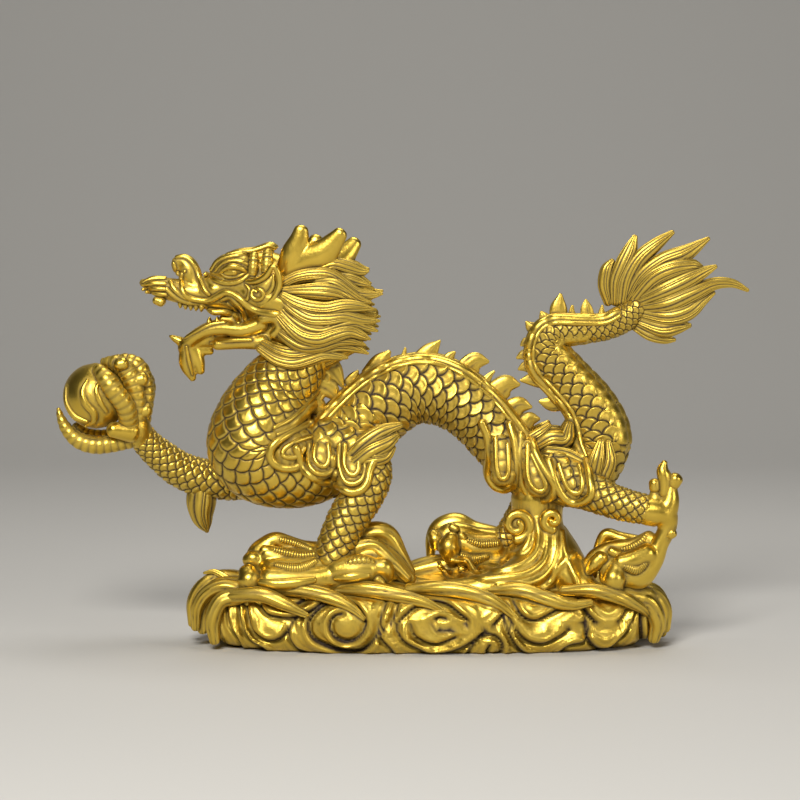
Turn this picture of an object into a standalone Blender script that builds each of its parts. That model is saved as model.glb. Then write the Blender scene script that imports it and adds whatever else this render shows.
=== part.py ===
# Gilded dragon on a cloud base, cast in one piece.
# It stands on the underside of its base: origin at the underside's middle, +Z up, head towards -X, front towards -Y.

import math

import bmesh
import bpy
import numpy as np
from mathutils import Vector
from mathutils.kdtree import KDTree

# Driving sizes, in metres
statue_length = 0.206   # from the hand with the pearl to the tip of the tail tuft
base_length = 0.144
base_depth = 0.053
base_height = 0.018
pearl_radius = 0.0099
relief_depth = 0.0013   # how deep the clouds are cut into the base
cast_grain = 0.00055    # the finest detail that the casting keeps
most_triangles = 9700

# The pose is drawn in shares of the statue: 206 shares from end to end, on a deck 18 shares above the table
shares_in_statue = 206
shares_under_deck = 18
share = statue_length / shares_in_statue

# The cloud relief is drawn on a base of 144 by 18 shares; a rounded end adds this much to its unrolled side
shares_along_base = 144
shares_up_base = 18
shares_round_end = 14
end_begins = 0.8        # part of the half base where its rounded end begins

# Powers that square a ball off into the slab of the base, and how far its walls lean in
end_power = 0.86
side_power = 0.62
wall_power = 0.38
deck_power = 0.55
lean_at_deck = 0.05
lean_at_table = 0.04
widest_level = 0.46     # part of the base's height where it is widest

# A groove of the clouds: its reach in shares, and how steeply it falls to its bottom
groove_reach = 2.4
groove_fall = 1.6

# A curl of the pillar: its tube at the rim, how much thinner it gets, how far it rises to the front, in shares
curl_tube = 1.7
curl_thinning = 0.8
curl_rise = 1.2
curl_steps = 14

# The rounded end of a form: how far it reaches past the last section, and its size there, in radii
end_reach = 0.75
end_size = 0.45
thinnest = 0.3          # least radius of a section, in shares

dragon_gold = (0.80, 0.58, 0.13)
gold_roughness = 0.34

# Each form is a row of round sections: x, y, z and radius, in shares of the length
body_spine = [
    (-35, 0, 98, 7.6), (-38.2, 0, 89.5, 8.2), (-41.4, -0.5, 83, 9.4), (-45.6, -0.5, 77, 11.6), (-50, -1, 68, 14.2),
    (-51.7, -1, 59.8, 15.3), (-47.5, -1, 55.3, 13.9), (-38, -0.5, 54.4, 12.8), (-29.5, 0, 58, 11.7),
    (-22.5, 0.5, 64, 10.9), (-15.5, 1, 71, 10.3), (-5.5, 1.5, 76.5, 9.9), (5, 1.5, 75.2, 9.6), (13.6, 1, 69.2, 8.8),
    (21, 0, 61, 8.4), (27.5, 0, 54, 8.5), (36, 0, 50.5, 8.7), (45, 0, 51.6, 8.4), (50.3, 0.5, 57, 8.1), (51, 1, 63.6, 8.0),
    (47.7, 1.5, 71.6, 7.1), (41, 2, 80, 6.3), (35.7, 2, 86.5, 5.8), (35, 2, 90.8, 5.2), (38, 2, 94, 4.8),
    (45, 2, 94.6, 4.3), (52, 2, 95.2, 3.8), (57.5, 2, 97.6, 3.9), (62, 2, 101.2, 3.3),
]

near_foreleg = [
    (-31, -5, 60, 9.0), (-22, -8.5, 59, 7.0), (-17.2, -11, 55, 5.0), (-17.4, -12.5, 50, 5.0), (-20.6, -12.5, 45.4, 5.8),
    (-24.2, -12.5, 40, 5.8), (-27.2, -13, 34, 5.5), (-29, -13, 27, 6.0),
]
near_forefoot = [
    [(-31, -9, 28, 3.2), (-38, -8, 29.4, 2.3), (-43, -7.5, 31, 2.2), (-46.4, -7.5, 32.0, 2.2), (-49.6, -7.5, 30.2, 2.5),
     (-52.5, -7.5, 27.6, 2.4), (-54.6, -7.5, 23, 1.2)],
    [(-31, -12, 27.0, 3.5), (-38, -12.5, 26.6, 3.0), (-44.5, -12.5, 27.4, 2.8), (-48.8, -12.5, 28.2, 2.6)],
    [(-54.2, -12.8, 26.4, 2.0), (-53, -12.8, 27.2, 2.3), (-51.8, -12.6, 26.4, 2.2)],
    [(-27, -12, 24, 5.0), (-34, -12.6, 23.2, 5.2), (-42, -13, 23, 5.0), (-48, -13.2, 22.6, 4.6)],
    [(-28, -15.4, 22.2, 4.2), (-34, -17.0, 21.4, 3.8), (-42, -17.8, 21.2, 3.9), (-47.8, -17.8, 21.4, 3.7)],
    [(-27.6, -16, 23.6, 4.2), (-22.6, -17, 24.4, 4.2), (-18.6, -17, 24.6, 3.6)],
    [(-16, -17.2, 25.4, 2.4), (-13.8, -17.4, 24.8, 2.5), (-13, -17, 22, 1.7)],
    [(-15, -13.4, 27, 2.2), (-12, -13.4, 25.4, 2.2), (-11.4, -13, 22, 1.6)],
]
# Claws and knuckles of all the feet
foot_bulbs = [
    [(-54.6, -16.6, 23.8, 2.3), (-54.0, -17.2, 21.4, 3.2), (-54.6, -16.8, 18.4, 2.2)],
    [(-49.8, -13, 29.6, 1.5), (-48.4, -13, 29.2, 1.7), (-47.2, -13, 28.6, 1.2)],
    [(-16, -18.6, 21.8, 1.2), (-14.6, -18.8, 20.4, 1.0), (-14.2, -18.6, 19, 0.6)],
    [(0.6, 8.8, 31.6, 1.5), (1.4, 8.4, 30.2, 2.0), (1.4, 8.2, 28, 1.3)],
    [(6.4, 5.6, 31, 2.0), (5.6, 5.2, 28.2, 3.0), (6.2, 5.4, 24.8, 2.0)],
    [(6.4, 7, 34.2, 1.1), (7.6, 6.8, 33.4, 1.2)],
    [(9.2, 5.8, 31.8, 1.1), (10.2, 5.6, 30.8, 1.1)],
    [(54.8, -18, 24.8, 2.0), (54.0, -18.4, 22, 3.0), (54.2, -18, 18.8, 2.2)],
    [(53.4, -14, 29.6, 1.2), (55.2, -14, 28.6, 1.5)],
    [(50.6, -13.8, 27.6, 2.0), (48.4, -13.8, 25.4, 1.9), (46.4, -13.6, 22.8, 0.9)],
    [(71.4, -15.6, 35.2, 1.4), (70.6, -15.6, 34.6, 1.3)],
    [(72.4, -14.8, 51.2, 1.9), (71.6, -14.8, 49.8, 1.8)],
    [(66.1, -14.8, 50, 1.5), (66.2, -14.8, 48.4, 1.5)],
    [(69, -14.6, 56, 0.8), (68.5, -14.6, 53.8, 1.6), (69.2, -14.6, 51, 1.9), (69.2, -14.4, 47, 1.9)],
    [(69.6, -13, 49, 1.0), (69.2, -13.4, 45.6, 1.4)],
]
ankle_tufts = [
    [(-24, -8, 31, 3.5), (-17.8, -8, 34.4, 3.2), (-13, -8, 33.4, 3.2), (-9.6, -8, 28, 2.6), (-6.2, -8, 22.5, 1.7)],
    [(-23, -12, 30, 3.2), (-17, -13, 31, 2.4), (-12, -14, 26.5, 2.2), (-7, -14, 21.5, 1.4)],
]

far_arm = [
    (-50, 5, 53, 8.5), (-59, 9, 49, 6.6), (-66, 9, 48.6, 5.6), (-71, 8.6, 49.4, 5.4), (-76, 8, 51.6, 5.1),
    (-81, 6.8, 55.4, 4.6), (-85, 5.4, 59.2, 4.1), (-87.6, 4.4, 62.6, 3.9),
]
elbow_tuft = [(-69.4, 9, 45.6, 4.4), (-69.6, 9, 41.4, 4.6), (-69.4, 9, 37.4, 3.6), (-68.6, 9, 34.6, 2.4), (-67.9, 9, 32.6, 0.7)]

near_hind_leg = [
    (37, -5, 51, 8.2), (45.5, -9, 47.8, 6.2), (52, -12, 45.0, 4.9), (57, -13.5, 43.4, 4.6), (63.4, -14, 42.0, 4.2),
]
near_hindfoot = [
    [(64, -14, 41.6, 4.2), (69, -14, 40.2, 4.3), (70.4, -14, 36.4, 3.2), (68.8, -14, 31.6, 3.0), (66.8, -14, 27, 3.4),
     (62, -14, 22.8, 4.4), (58.4, -14, 22.6, 4.2)],
    [(65, -12, 33, 2.2), (60.4, -11.5, 31.0, 2.0), (55.4, -11.5, 30.4, 2.0), (52.2, -11.5, 29.2, 2.3), (49, -11.5, 26.8, 2.6),
     (46.6, -11.5, 24.0, 1.8), (45.6, -11.5, 21, 0.9)],
    [(64, -15.5, 29, 2.8), (59.4, -17, 27.2, 2.6), (56, -17.5, 26.4, 2.4)],
    [(62, -8, 31, 2.2), (56.4, -6.5, 32.4, 1.8), (52.6, -6, 33.6, 1.6), (50.8, -6, 31, 1.5), (49.4, -6, 26.0, 1.3),
     (48.6, -6, 21.0, 1.1)],
    [(68.8, -14, 40.8, 3.8), (70.6, -14.5, 44.4, 2.6), (71, -14.5, 48.4, 1.7)],
    [(66.6, -14, 43.6, 2.6), (66.4, -14, 47, 1.5)],
]

far_hind_leg = [
    (37, 5, 50, 8.0), (32, 9, 43, 6.2), (28, 11.5, 37, 4.8), (24, 12.5, 31, 4.2), (20, 12.5, 26, 4.4), (18, 12.5, 21, 4.2),
]
far_hindfoot = [
    [(19, 12, 29.4, 3.0), (14, 11.5, 30.6, 2.6), (9.4, 11, 32.0, 2.6), (5.6, 11, 31.6, 2.8), (2.8, 11, 28.6, 2.6)],
    [(19, 8.5, 27, 3.4), (13.6, 7.4, 27.4, 3.2), (9.6, 7, 29.4, 2.4)],
    [(19, 15.5, 30, 3.0), (13, 16, 32, 2.6), (8, 16.5, 34.4, 2.6), (3, 16.5, 33.0, 2.4), (0.6, 16.5, 29.6, 1.8),
     (0, 16.5, 24.0, 1.2)],
    [(20, 10, 23, 5.0), (14, 9, 24.4, 4.4), (10.4, 8, 25, 3.4)],
]

head_forms = [
    [(-38, 0, 100, 9.5), (-46, 0, 104, 10), (-54, 0, 107.5, 8.6), (-61, 0, 107.5, 6.4), (-67, 0, 106, 4.6)],
    [(-60, 0, 105.5, 5.4), (-68, 0, 105.2, 4.0), (-76, 0, 106.2, 3.6), (-81.5, 0, 107.4, 2.9), (-86.3, 0, 108.6, 1.2)],
    [(-69.6, 0, 105, 3.2), (-72.2, 0, 110, 2.5), (-73.0, 0, 113.4, 2.4), (-74.8, 0, 115.2, 1.9), (-76.4, 0, 113.8, 1.2),
     (-75.8, 0, 112, 0.9)],
    [(-60, 0, 108.5, 4.0), (-64.2, 0, 108.6, 2.6)],
    [(-40, 0, 108, 6.0), (-48, 0, 113.2, 4.6), (-56, 0, 112.8, 4.0), (-63, 0, 110, 3.2)],
    [(-46, 0, 95, 7.5), (-56, 0, 93.4, 4.2), (-64, 0, 92.4, 3.0), (-70.5, 0, 91, 2.6), (-74, 0, 88.6, 2.2)],
    [(-72.6, 0, 89, 2.8), (-73.0, 0, 84.2, 2.5), (-71.4, 0, 79.8, 1.1)],
    [(-71, 0, 88.4, 2.4), (-69.8, 0, 85, 2.1), (-69.0, 0, 82, 1.3)],
    [(-68.6, 0, 88.4, 1.6), (-66, 0, 88.0, 1.2)],
    [(-73.5, 0, 90.4, 1.6), (-76.3, 0, 91.6, 1.2), (-78.2, 0, 92.6, 0.5)],
    [(-52, 0, 96.4, 3.0), (-58, 0, 97.2, 2.2), (-62.5, 0, 97.6, 1.4)],
]
# Forms of the near side of the head; the far side has them too, mirrored
paired_head_forms = {
    "eye bulge": [(-65.2, -3.6, 111.6, 1.9), (-61, -4.6, 113.4, 3.3), (-56, -5.4, 114.4, 3.4)],
    "brow": [(-66, -3.2, 112.6, 1.3), (-62, -4.4, 115.6, 1.3), (-55, -5.6, 117.4, 1.4), (-47.6, -5.6, 119.4, 1.4)],
    "first brow roll": [(-53.2, -7.6, 111.9, 2.0), (-52.8, -7.2, 114.7, 2.1), (-52.6, -6.4, 117, 1.8)],
    "second brow roll": [(-49.2, -8, 111.7, 2.0), (-48.8, -7.6, 114.9, 2.2), (-48.6, -6.6, 117.6, 1.9)],
    "cheek": [(-58, -3.8, 104.4, 3.0), (-51, -6.4, 105, 4.0), (-44, -7, 103, 5.0)],
    "ear": [(-52.5, -8, 106.9, 2.0), (-48.6, -10, 108.3, 2.9), (-46.2, -11.6, 111.4, 2.1), (-45.4, -12.6, 114.8, 0.9)],
    "cheek curl": [(-51.6, -9, 106.4, 1.2), (-53.4, -9.2, 105.8, 1.0), (-52.8, -9.4, 103.4, 1.3), (-50.4, -9.2, 103.4, 1.2)],
    "upper whisker": [(-75.6, -2.9, 109.6, 0.9), (-75, -3.3, 106.3, 1.0), (-71.6, -3.8, 104.2, 1.1),
                      (-67.6, -4.0, 103.7, 1.1), (-64, -4.4, 104.7, 1.2), (-61, -5.4, 106.1, 1.3), (-57.6, -6.8, 104.6, 1.3),
                      (-53.8, -8.2, 102.3, 1.3), (-49.4, -9.6, 101.0, 1.4), (-44.8, -10.4, 100.1, 1.5)],
    "lip": [(-84.6, -1.6, 106.4, 1.2), (-79.6, -2.9, 104.4, 1.4), (-74.2, -3.7, 103, 1.3), (-70, -3.9, 102.2, 1.3),
            (-66.8, -4.3, 101.4, 1.3), (-62, -5.2, 101, 1.4), (-58.4, -6.2, 100, 1.4), (-57.0, -6.6, 97.6, 1.2)],
    "fang": [(-81.6, -2.4, 104, 1.3), (-81.6, -2.4, 102.8, 1.4)],
    "lower lip": [(-50, -6.6, 96.9, 2.4), (-56, -6.0, 94.9, 2.2), (-62, -4.9, 95.2, 2.0), (-67, -3.9, 94.4, 1.8),
                  (-71, -2.6, 92.2, 1.8), (-73.4, -1.2, 89.8, 1.8)],
    "jaw frill": [(-50, -5.4, 91.2, 2.4), (-57, -4.4, 90.9, 2.0), (-64, -3.2, 90.2, 1.7)],
    "jowl": [(-50, -8.4, 98.2, 1.6), (-46.2, -9.6, 98.7, 1.7), (-45, -9.8, 96.1, 1.6), (-46.8, -9.0, 93.8, 1.5)],
}
# The near antler; the far one is its mirror image, set a little back along the head
antler_forms = [
    [(-42.2, -5.4, 112.6, 4.0), (-40.6, -6.4, 117.6, 4.1), (-39.2, -7.2, 121.6, 3.1), (-38.6, -7.6, 124.4, 2.3)],
    [(-41, -5.4, 113.6, 4.4), (-36.5, -6.4, 116.0, 4.6), (-32, -7.4, 117.8, 4.4), (-28.8, -8.4, 121.2, 3.1),
     (-27, -9, 123.4, 2.3)],
    [(-38, -5.4, 112.6, 4.2), (-33, -6.2, 113.6, 3.8), (-30.4, -7, 116, 3.4)],
]
antler_thickness = 0.62
far_antler_setback = 4.0
far_antler_drop = 3.4

# Locks of the mane, near side: each is a flattened rope of hair
mane_locks = [
    [(-44.5, -9, 108.4, 1.6), (-39.9, -9.6, 110.6, 2.0), (-34.4, -9.8, 111.5, 2.3), (-29.8, -9.6, 111.2, 2.3),
     (-26.1, -9.2, 108.7, 2.2), (-22.5, -9, 106, 2.0), (-18.3, -8.8, 105.3, 1.4), (-14.6, -8.6, 105.7, 0.4)],
    [(-33, -7, 113, 1.8), (-29, -6.8, 114.4, 2.2), (-24.4, -6.4, 113.4, 2.2), (-20.6, -6.2, 112.2, 1.5), (-18.8, -6, 112.4, 0.5)],
    [(-28, -7.6, 110.6, 1.8), (-24.4, -7.4, 110, 2.2), (-21, -7, 108.8, 1.8), (-18.2, -7, 108, 0.5)],
    [(-44.4, -10.4, 106.4, 1.4), (-37.6, -11.4, 106.6, 2.2), (-32, -11.6, 106.6, 2.8), (-27.6, -11.2, 106, 2.4),
     (-23.6, -10.4, 104, 1.6), (-20.4, -10, 102.8, 0.6)],
    [(-44, -10.8, 105.2, 1.4), (-40.6, -11.6, 103.4, 1.9), (-36, -12, 101.9, 2.2), (-31, -12, 101.4, 2.2),
     (-26, -11.6, 102.2, 2.2), (-21.4, -11, 102, 1.7), (-17.2, -10.4, 101.4, 0.4)],
    [(-44.2, -10.8, 104.4, 1.4), (-40.6, -12, 101.2, 2.0), (-36, -12.6, 98.6, 2.4), (-30.6, -12.6, 98.4, 2.5),
     (-25.6, -12, 99, 2.3), (-20.4, -11.4, 98, 1.8), (-15.4, -10.8, 97.8, 0.4)],
    [(-45.2, -10.4, 102, 1.5), (-41.6, -12, 98.4, 2.0), (-37.2, -12.8, 95.8, 2.4), (-32.4, -12.9, 95, 2.4),
     (-27.8, -12.5, 96.4, 2.3), (-23, -12, 97.3, 2.1), (-19.4, -11.4, 96, 1.5), (-16, -11, 94.8, 0.4)],
    [(-45.4, -10, 99.6, 1.5), (-41.6, -11.8, 95.9, 2.0), (-38, -12.6, 93.4, 2.3), (-33.4, -12.8, 92.5, 2.4),
     (-28.8, -12.4, 93.8, 2.3), (-24.2, -11.8, 94.8, 2.0), (-20.8, -11.2, 93.6, 1.4), (-18.2, -10.8, 92.4, 0.4)],
    [(-46, -9, 95.6, 1.6), (-42, -11, 92.6, 2.1), (-38, -12, 90.6, 2.3), (-33, -12.1, 90.8, 2.3), (-28, -11.6, 92.2, 2.0),
     (-23.4, -11, 92, 1.5), (-19.6, -10.6, 90.6, 0.4)],
    [(-50.4, -7.6, 91, 1.4), (-46, -9.8, 88.8, 2.0), (-41, -11, 87.8, 2.4), (-36.2, -11.4, 88.7, 2.6), (-31.8, -11, 90, 2.5),
     (-27, -10.6, 90.6, 2.2), (-22.4, -10, 89.6, 1.5), (-18.8, -9.6, 88, 0.4)],
    [(-51, -7, 89.4, 1.3), (-46, -9, 86.4, 1.9), (-41, -10, 85.4, 2.1), (-36.6, -10.2, 86.4, 2.2), (-32, -9.8, 87.7, 2.0),
     (-28, -9.4, 87.3, 1.4), (-25, -9, 86.8, 0.5)],
    [(-34, -9.6, 109, 1.4), (-29, -10.4, 108.8, 1.9), (-25, -10, 106.4, 1.9), (-21.4, -9.6, 104, 1.5), (-18, -9.2, 103.2, 0.5)],
    [(-30, -9.8, 100, 1.6), (-25, -9.6, 100.6, 1.9), (-20.4, -9.2, 100, 1.5), (-16.6, -9, 99.4, 0.5)],
]
lock_thickness = 0.8
mane_core = [
    [(-42, 0, 96, 10.0), (-34, 0, 97, 11.0), (-27, 0, 98, 9.0), (-21, 0, 99, 5.0), (-17, 0, 99.5, 1.6)],
    [(-42, 0, 106, 7.0), (-33, 0, 107.5, 7.0), (-25, 0, 107, 5.0), (-18, 0, 106, 1.6)],
    [(-44, 0, 91, 7.5), (-36, 0, 90, 8.5), (-28, 0, 90.5, 6.0), (-21.5, 0, 90, 1.8)],
]

tail_locks = [
    [(53.2, 2.4, 102.6, 1.5), (51.9, 1.4, 107.6, 2.0), (52.6, 1, 112.4, 2.0), (54.2, 1, 115, 0.9)],
    [(55.4, 2.2, 102.8, 1.8), (55.6, 1, 109, 2.4), (57.4, 0.4, 113.8, 2.6), (59.4, 0.4, 118, 2.3), (60.9, 0.6, 122.2, 0.9)],
    [(57.6, 2, 103, 2.0), (58.9, 0.4, 109.6, 2.4), (62.4, -0.2, 115.6, 2.5), (67, -0.2, 119.8, 2.1), (72.1, 0.4, 123.6, 0.8)],
    [(59.4, 1.8, 103.4, 2.2), (63, -0.2, 110.2, 2.6), (69, -1, 114.8, 2.8), (76, -1, 117.4, 2.6), (82.8, 0, 121.7, 0.7)],
    [(61, 1.4, 103.8, 2.4), (66, -1.2, 109.6, 3.0), (72.2, -2, 112.8, 3.1), (78, -1.6, 113.8, 2.0), (80.6, -1, 113.2, 0.9)],
    [(62.4, 1.2, 102.6, 2.4), (69.6, -2, 106.2, 3.0), (76.4, -2.2, 109.4, 2.8), (81.4, -1.4, 111.8, 1.8), (85, -0.6, 113.4, 0.7)],
    [(62.8, 1.2, 101, 2.2), (70.6, -2, 102.4, 2.9), (78, -2, 105.4, 2.7), (84.4, -1, 108.2, 2.0), (90, -0.4, 108.4, 1.4),
     (94.7, 0, 106.3, 0.6)],
    [(62.6, 1.4, 99.4, 2.2), (70.4, -1.6, 98.6, 3.1), (76.6, -1.8, 100.2, 2.9), (81, -1, 103.4, 1.9), (84.4, -0.4, 105.6, 0.8)],
    [(62, 1.6, 97.2, 2.0), (69, -0.8, 95, 2.8), (74, -1, 95.6, 2.3), (77.4, -0.4, 95.8, 0.8)],
    [(61.4, 2, 95.4, 1.6), (65.6, 0.6, 93, 2.0), (70, 0.4, 91.6, 1.6), (72.9, 0.6, 91.4, 0.7)],
    [(61, 3.4, 101, 3.0), (67, 3, 105.6, 5.4), (73, 2.6, 109, 4.8), (78, 2, 111.6, 2.0)],
    [(61, 3.4, 98.6, 3.0), (68, 3, 99, 4.6), (75, 2.6, 102, 3.6), (80.4, 2, 105.2, 1.4)],
]
tail_lock_thickness = 0.62

# Flames and tufts at the hips and the shoulder
near_tufts = [
    [(-25, -12.5, 57, 2.4), (-20, -13.6, 61.4, 2.6), (-14.6, -13.4, 65.0, 2.2), (-9.2, -12.4, 67.0, 0.9)],
    [(-23, -14, 55.4, 2.4), (-18, -15, 59.4, 2.6), (-13.4, -14.6, 61.8, 2.2), (-10.2, -13.6, 64, 0.9)],
    [(-21, -14, 56.4, 2.0), (-16.8, -15, 57.2, 2.3), (-13.4, -14.6, 58.0, 1.6), (-11.4, -14, 60.4, 0.9)],
    [(32, -4, 60, 2.4), (36, -4.6, 62.2, 2.8), (40, -4.2, 62.2, 2.6), (41.4, -3.4, 66, 1.4)],
    [(30, -5, 62.4, 1.6), (33, -5, 64.2, 1.5), (35.4, -4.8, 66.2, 0.7)],
    [(35, -6, 57.8, 2.2), (40.4, -6, 57.0, 2.4), (45, -7, 55.2, 2.0)],
    [(48.4, -9, 51.8, 2.4), (49.2, -9.6, 56.4, 2.3), (50.4, -9.4, 61.6, 1.0)],
    [(51.4, -8.6, 51.4, 2.2), (53.2, -8.6, 56, 1.9), (52.8, -8.4, 61.4, 0.8)],
]

# A scalloped skin hangs over the shoulder and the hip: middle lines of the lobes, and the rims round them
near_lobes = [
    [(-36, -10, 63, 3.0), (-40.5, -13.2, 60.4, 3.6), (-43.2, -13.8, 57.6, 3.9)],
    [(-30, -11.5, 63, 3.2), (-32.4, -14.4, 57.6, 3.9), (-33.3, -15, 54.4, 4.2)],
    [(-24.5, -13, 58, 3.4), (-23.8, -15.2, 54, 4.2), (-23.4, -15.8, 50.8, 4.4)],
    [(20, -8.4, 62, 2.6), (21.2, -9.8, 55.6, 3.4), (21.6, -10, 51.6, 3.7)],
    [(28.5, -9, 60, 2.6), (31, -10.8, 53, 3.8), (32.4, -11.4, 48.8, 4.1)],
    [(38.5, -9.4, 55, 2.6), (41.4, -11.4, 50, 3.6), (42.6, -12, 47.6, 3.9)],
]
lobe_thickness = 0.5
near_rims = [
    [(-37.5, -10.6, 66, 0.7), (-42.6, -12.6, 64, 0.9), (-46.8, -13.6, 60.6, 1.0), (-46.4, -14.4, 56, 1.1),
     (-42.4, -15, 54.2, 1.1), (-39, -14.6, 57, 0.8)],
    [(-34, -12, 63, 0.7), (-37.2, -14.6, 57.8, 1.0), (-36.8, -15.4, 53.2, 1.1), (-33, -15.8, 51, 1.1),
     (-29.4, -15.8, 53, 1.0), (-28.2, -15, 57, 0.8)],
    [(-25.6, -13.4, 62, 0.7), (-27.9, -15.2, 56.8, 1.0), (-27.2, -16.2, 50, 1.1), (-23.2, -16.6, 47.4, 1.1),
     (-19.6, -16.2, 50.4, 1.0), (-18.2, -15.6, 56, 0.9), (-15.6, -15, 58.2, 0.8)],
    [(15.6, -7.6, 66.6, 0.6), (17.8, -9.0, 61.4, 0.9), (17.8, -10, 54, 1.1), (20.2, -10.6, 48.8, 1.1),
     (23.8, -10.8, 49.6, 1.1), (25, -10, 55, 1.0), (26.0, -8.8, 62, 0.8)],
    [(27.0, -8.8, 63, 0.8), (27.2, -10.2, 55, 1.0), (28.8, -11.6, 48, 1.1), (32.6, -12.4, 45.0, 1.1),
     (36.2, -12.2, 47.2, 1.1), (34.4, -11.4, 52.6, 1.0), (31.0, -9.6, 60, 0.8)],
    [(35.0, -10, 56.0, 0.8), (38.4, -11.6, 49.4, 1.0), (41.6, -12.8, 44.6, 1.1), (45.8, -13, 45.2, 1.1),
     (46.6, -12.2, 50.6, 1.0), (46, -10.6, 56.2, 0.7)],
]

# Fins along the back, big and small by turns, each from its root to its tip
back_fins = [
    [(-34, 0, 83.4, 2.2), (-29.8, 0, 82.6, 2.2), (-26.2, 0, 77.2, 0.5)],
    [(-34, 0, 78.4, 2.2), (-30.2, 0, 76.4, 1.9), (-27.6, 0, 72.6, 0.5)],
    [(-37.5, 0, 73, 2.2), (-34, 0, 71.2, 1.9), (-31.6, 0, 68.2, 0.5)],
    [(-24.5, 0.5, 78.2, 1.3), (-23, 0.5, 80.4, 1.0), (-21.9, 0.5, 82.1, 0.4)],
    [(-17.5, 1, 80.4, 2.4), (-14.9, 1, 84.8, 1.9), (-12.4, 1, 87.9, 0.6)],
    [(-8.4, 1.2, 84.2, 1.3), (-8.1, 1.2, 87, 0.9), (-7.7, 1.2, 88.9, 0.4)],
    [(-2.6, 1.5, 84.3, 2.6), (-0.2, 1.5, 88, 1.8), (2.7, 1.5, 91.1, 0.4)],
    [(4.5, 1.5, 84.3, 1.4), (5.8, 1.5, 86.4, 1.0), (7.2, 1.5, 87.7, 0.4)],
    [(9.6, 1.3, 81.4, 2.4), (13.4, 1.3, 84.8, 2.0), (17.2, 1.3, 84.8, 0.6)],
    [(16, 1, 78.4, 1.3), (17.7, 1, 80.7, 0.9), (19, 1, 81.9, 0.4)],
    [(19, 1, 75, 2.5), (22.8, 1, 78, 2.0), (26.5, 1, 77.9, 0.6)],
    [(23.4, 0.5, 69.6, 2.4), (26.8, 0.5, 71.6, 1.9), (30.2, 0.5, 71.2, 0.5)],
    [(27, 0.5, 64.8, 2.2), (29.8, 0.5, 67.4, 1.7), (32.6, 0.5, 67.6, 0.5)],
    [(41, 1.5, 73, 1.8), (36.2, 1.5, 72.2, 1.6), (32.6, 1.5, 72.8, 0.5)],
    [(37.4, 1.8, 79, 1.8), (31.6, 1.8, 79.5, 1.7), (27, 1.8, 79.1, 0.5)],
    [(33, 2, 83, 1.6), (28.6, 2, 83.3, 1.2), (26.3, 2, 82.4, 0.4)],
    [(31, 2, 86.6, 1.6), (27.8, 2, 86.7, 1.1), (25.8, 2, 85.8, 0.4)],
    [(31, 2, 90.2, 1.6), (28.4, 2, 90.4, 1.1), (27, 2, 89.6, 0.4)],
    [(32.4, 2, 93.8, 1.6), (29.9, 2, 95.3, 1.1), (28.6, 2, 96.8, 0.4)],
    [(34.8, 2, 96.8, 1.4), (33.7, 2, 98.5, 1.0), (33, 2, 99.8, 0.4)],
    [(38.2, 2, 97.4, 1.8), (38.3, 2, 101.4, 1.6), (38.9, 2, 105, 0.5)],
    [(42.4, 2, 97.4, 1.2), (42.2, 2, 100, 0.9), (42.4, 2, 101.6, 0.4)],
    [(47, 2, 97.4, 1.5), (46.6, 2, 100.9, 1.2), (46.4, 2, 103.4, 0.4)],
    [(51.4, 2, 98, 1.2), (51.2, 2, 100, 0.9), (51.4, 2, 101.6, 0.4)],
]
fin_thickness = 0.5

# The hand round the pearl, in pearl radii from the pearl's middle
hand_forms = [
    [(1.34, 0.05, -1.25, 0.40), (1.18, -0.12, -0.9, 0.44), (1.12, -0.15, -0.35, 0.32)],
    [(1.1, -0.4, -1.05, 0.32), (0.55, -0.6, -0.98, 0.22)],
    [(1.05, -0.45, -0.8, 0.30), (0.95, -0.75, -0.25, 0.28), (0.62, -0.92, 0.25, 0.28), (0.36, -0.86, 0.62, 0.25),
     (0.12, -0.62, 0.88, 0.17)],
    [(1.26, -0.3, -0.7, 0.26), (1.26, -0.42, 0.1, 0.26), (1.0, -0.42, 0.76, 0.28), (0.66, -0.4, 1.02, 0.24),
     (0.28, -0.3, 1.06, 0.13)],
    [(1.42, 0, -0.75, 0.24), (1.52, 0, 0.1, 0.25), (1.36, 0.05, 0.78, 0.26), (1.0, 0.1, 1.02, 0.25),
     (0.55, 0.12, 1.1, 0.14)],
    [(1.38, 0.35, -0.6, 0.22), (1.56, 0.45, 0.2, 0.22), (1.36, 0.5, 0.66, 0.22), (0.9, 0.55, 0.84, 0.2),
     (0.5, 0.5, 0.94, 0.12)],
    [(1.1, -0.1, -1.3, 0.27), (0.45, -0.15, -1.46, 0.25), (-0.05, -0.2, -1.48, 0.26), (-0.52, -0.2, -1.34, 0.24),
     (-0.86, -0.2, -1.02, 0.19), (-1.04, -0.2, -0.68, 0.13), (-1.12, -0.2, -0.4, 0.07)],
    [(1.1, 0.4, -1.1, 0.24), (0.3, 0.5, -1.3, 0.22), (-0.3, 0.5, -1.24, 0.2), (-0.66, 0.42, -1.0, 0.15)],
]
wrist_reach = (1.34, 0.05, -1.18)

# The cloud pillar that carries the hips, the slopes of cloud that run into it on both sides, and its curls
pillar = [(33.5, -1, 15, 13.0), (33.5, -1, 22, 10.4), (33, -1, 30, 8.2), (32, -1, 37, 7.6), (32, -1, 44, 8.0)]
pillar_slopes = [
    [(0, -14, 17.6, 3.0), (8, -14.6, 17.8, 3.6), (16, -14.6, 18.4, 4.6), (24, -12.6, 19.6, 6.4),
     (30.6, -8, 23, 7.6), (33, -4, 30, 7.2)],
    [(49, -12, 16, 3.4), (44, -11, 19, 5.4), (39, -7, 25, 6.8), (35.6, -4, 31, 6.4)],
]
# Curls: centre x, y, z, outer radius, turns and the direction in which they wind
pillar_curls = [(25.5, -8.4, 36.8, 4.6, 1.4, 1), (36.2, -9.4, 38.4, 3.0, 1.2, -1), (26.6, 8.4, 37.4, 4.2, 1.4, 1)]

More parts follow.
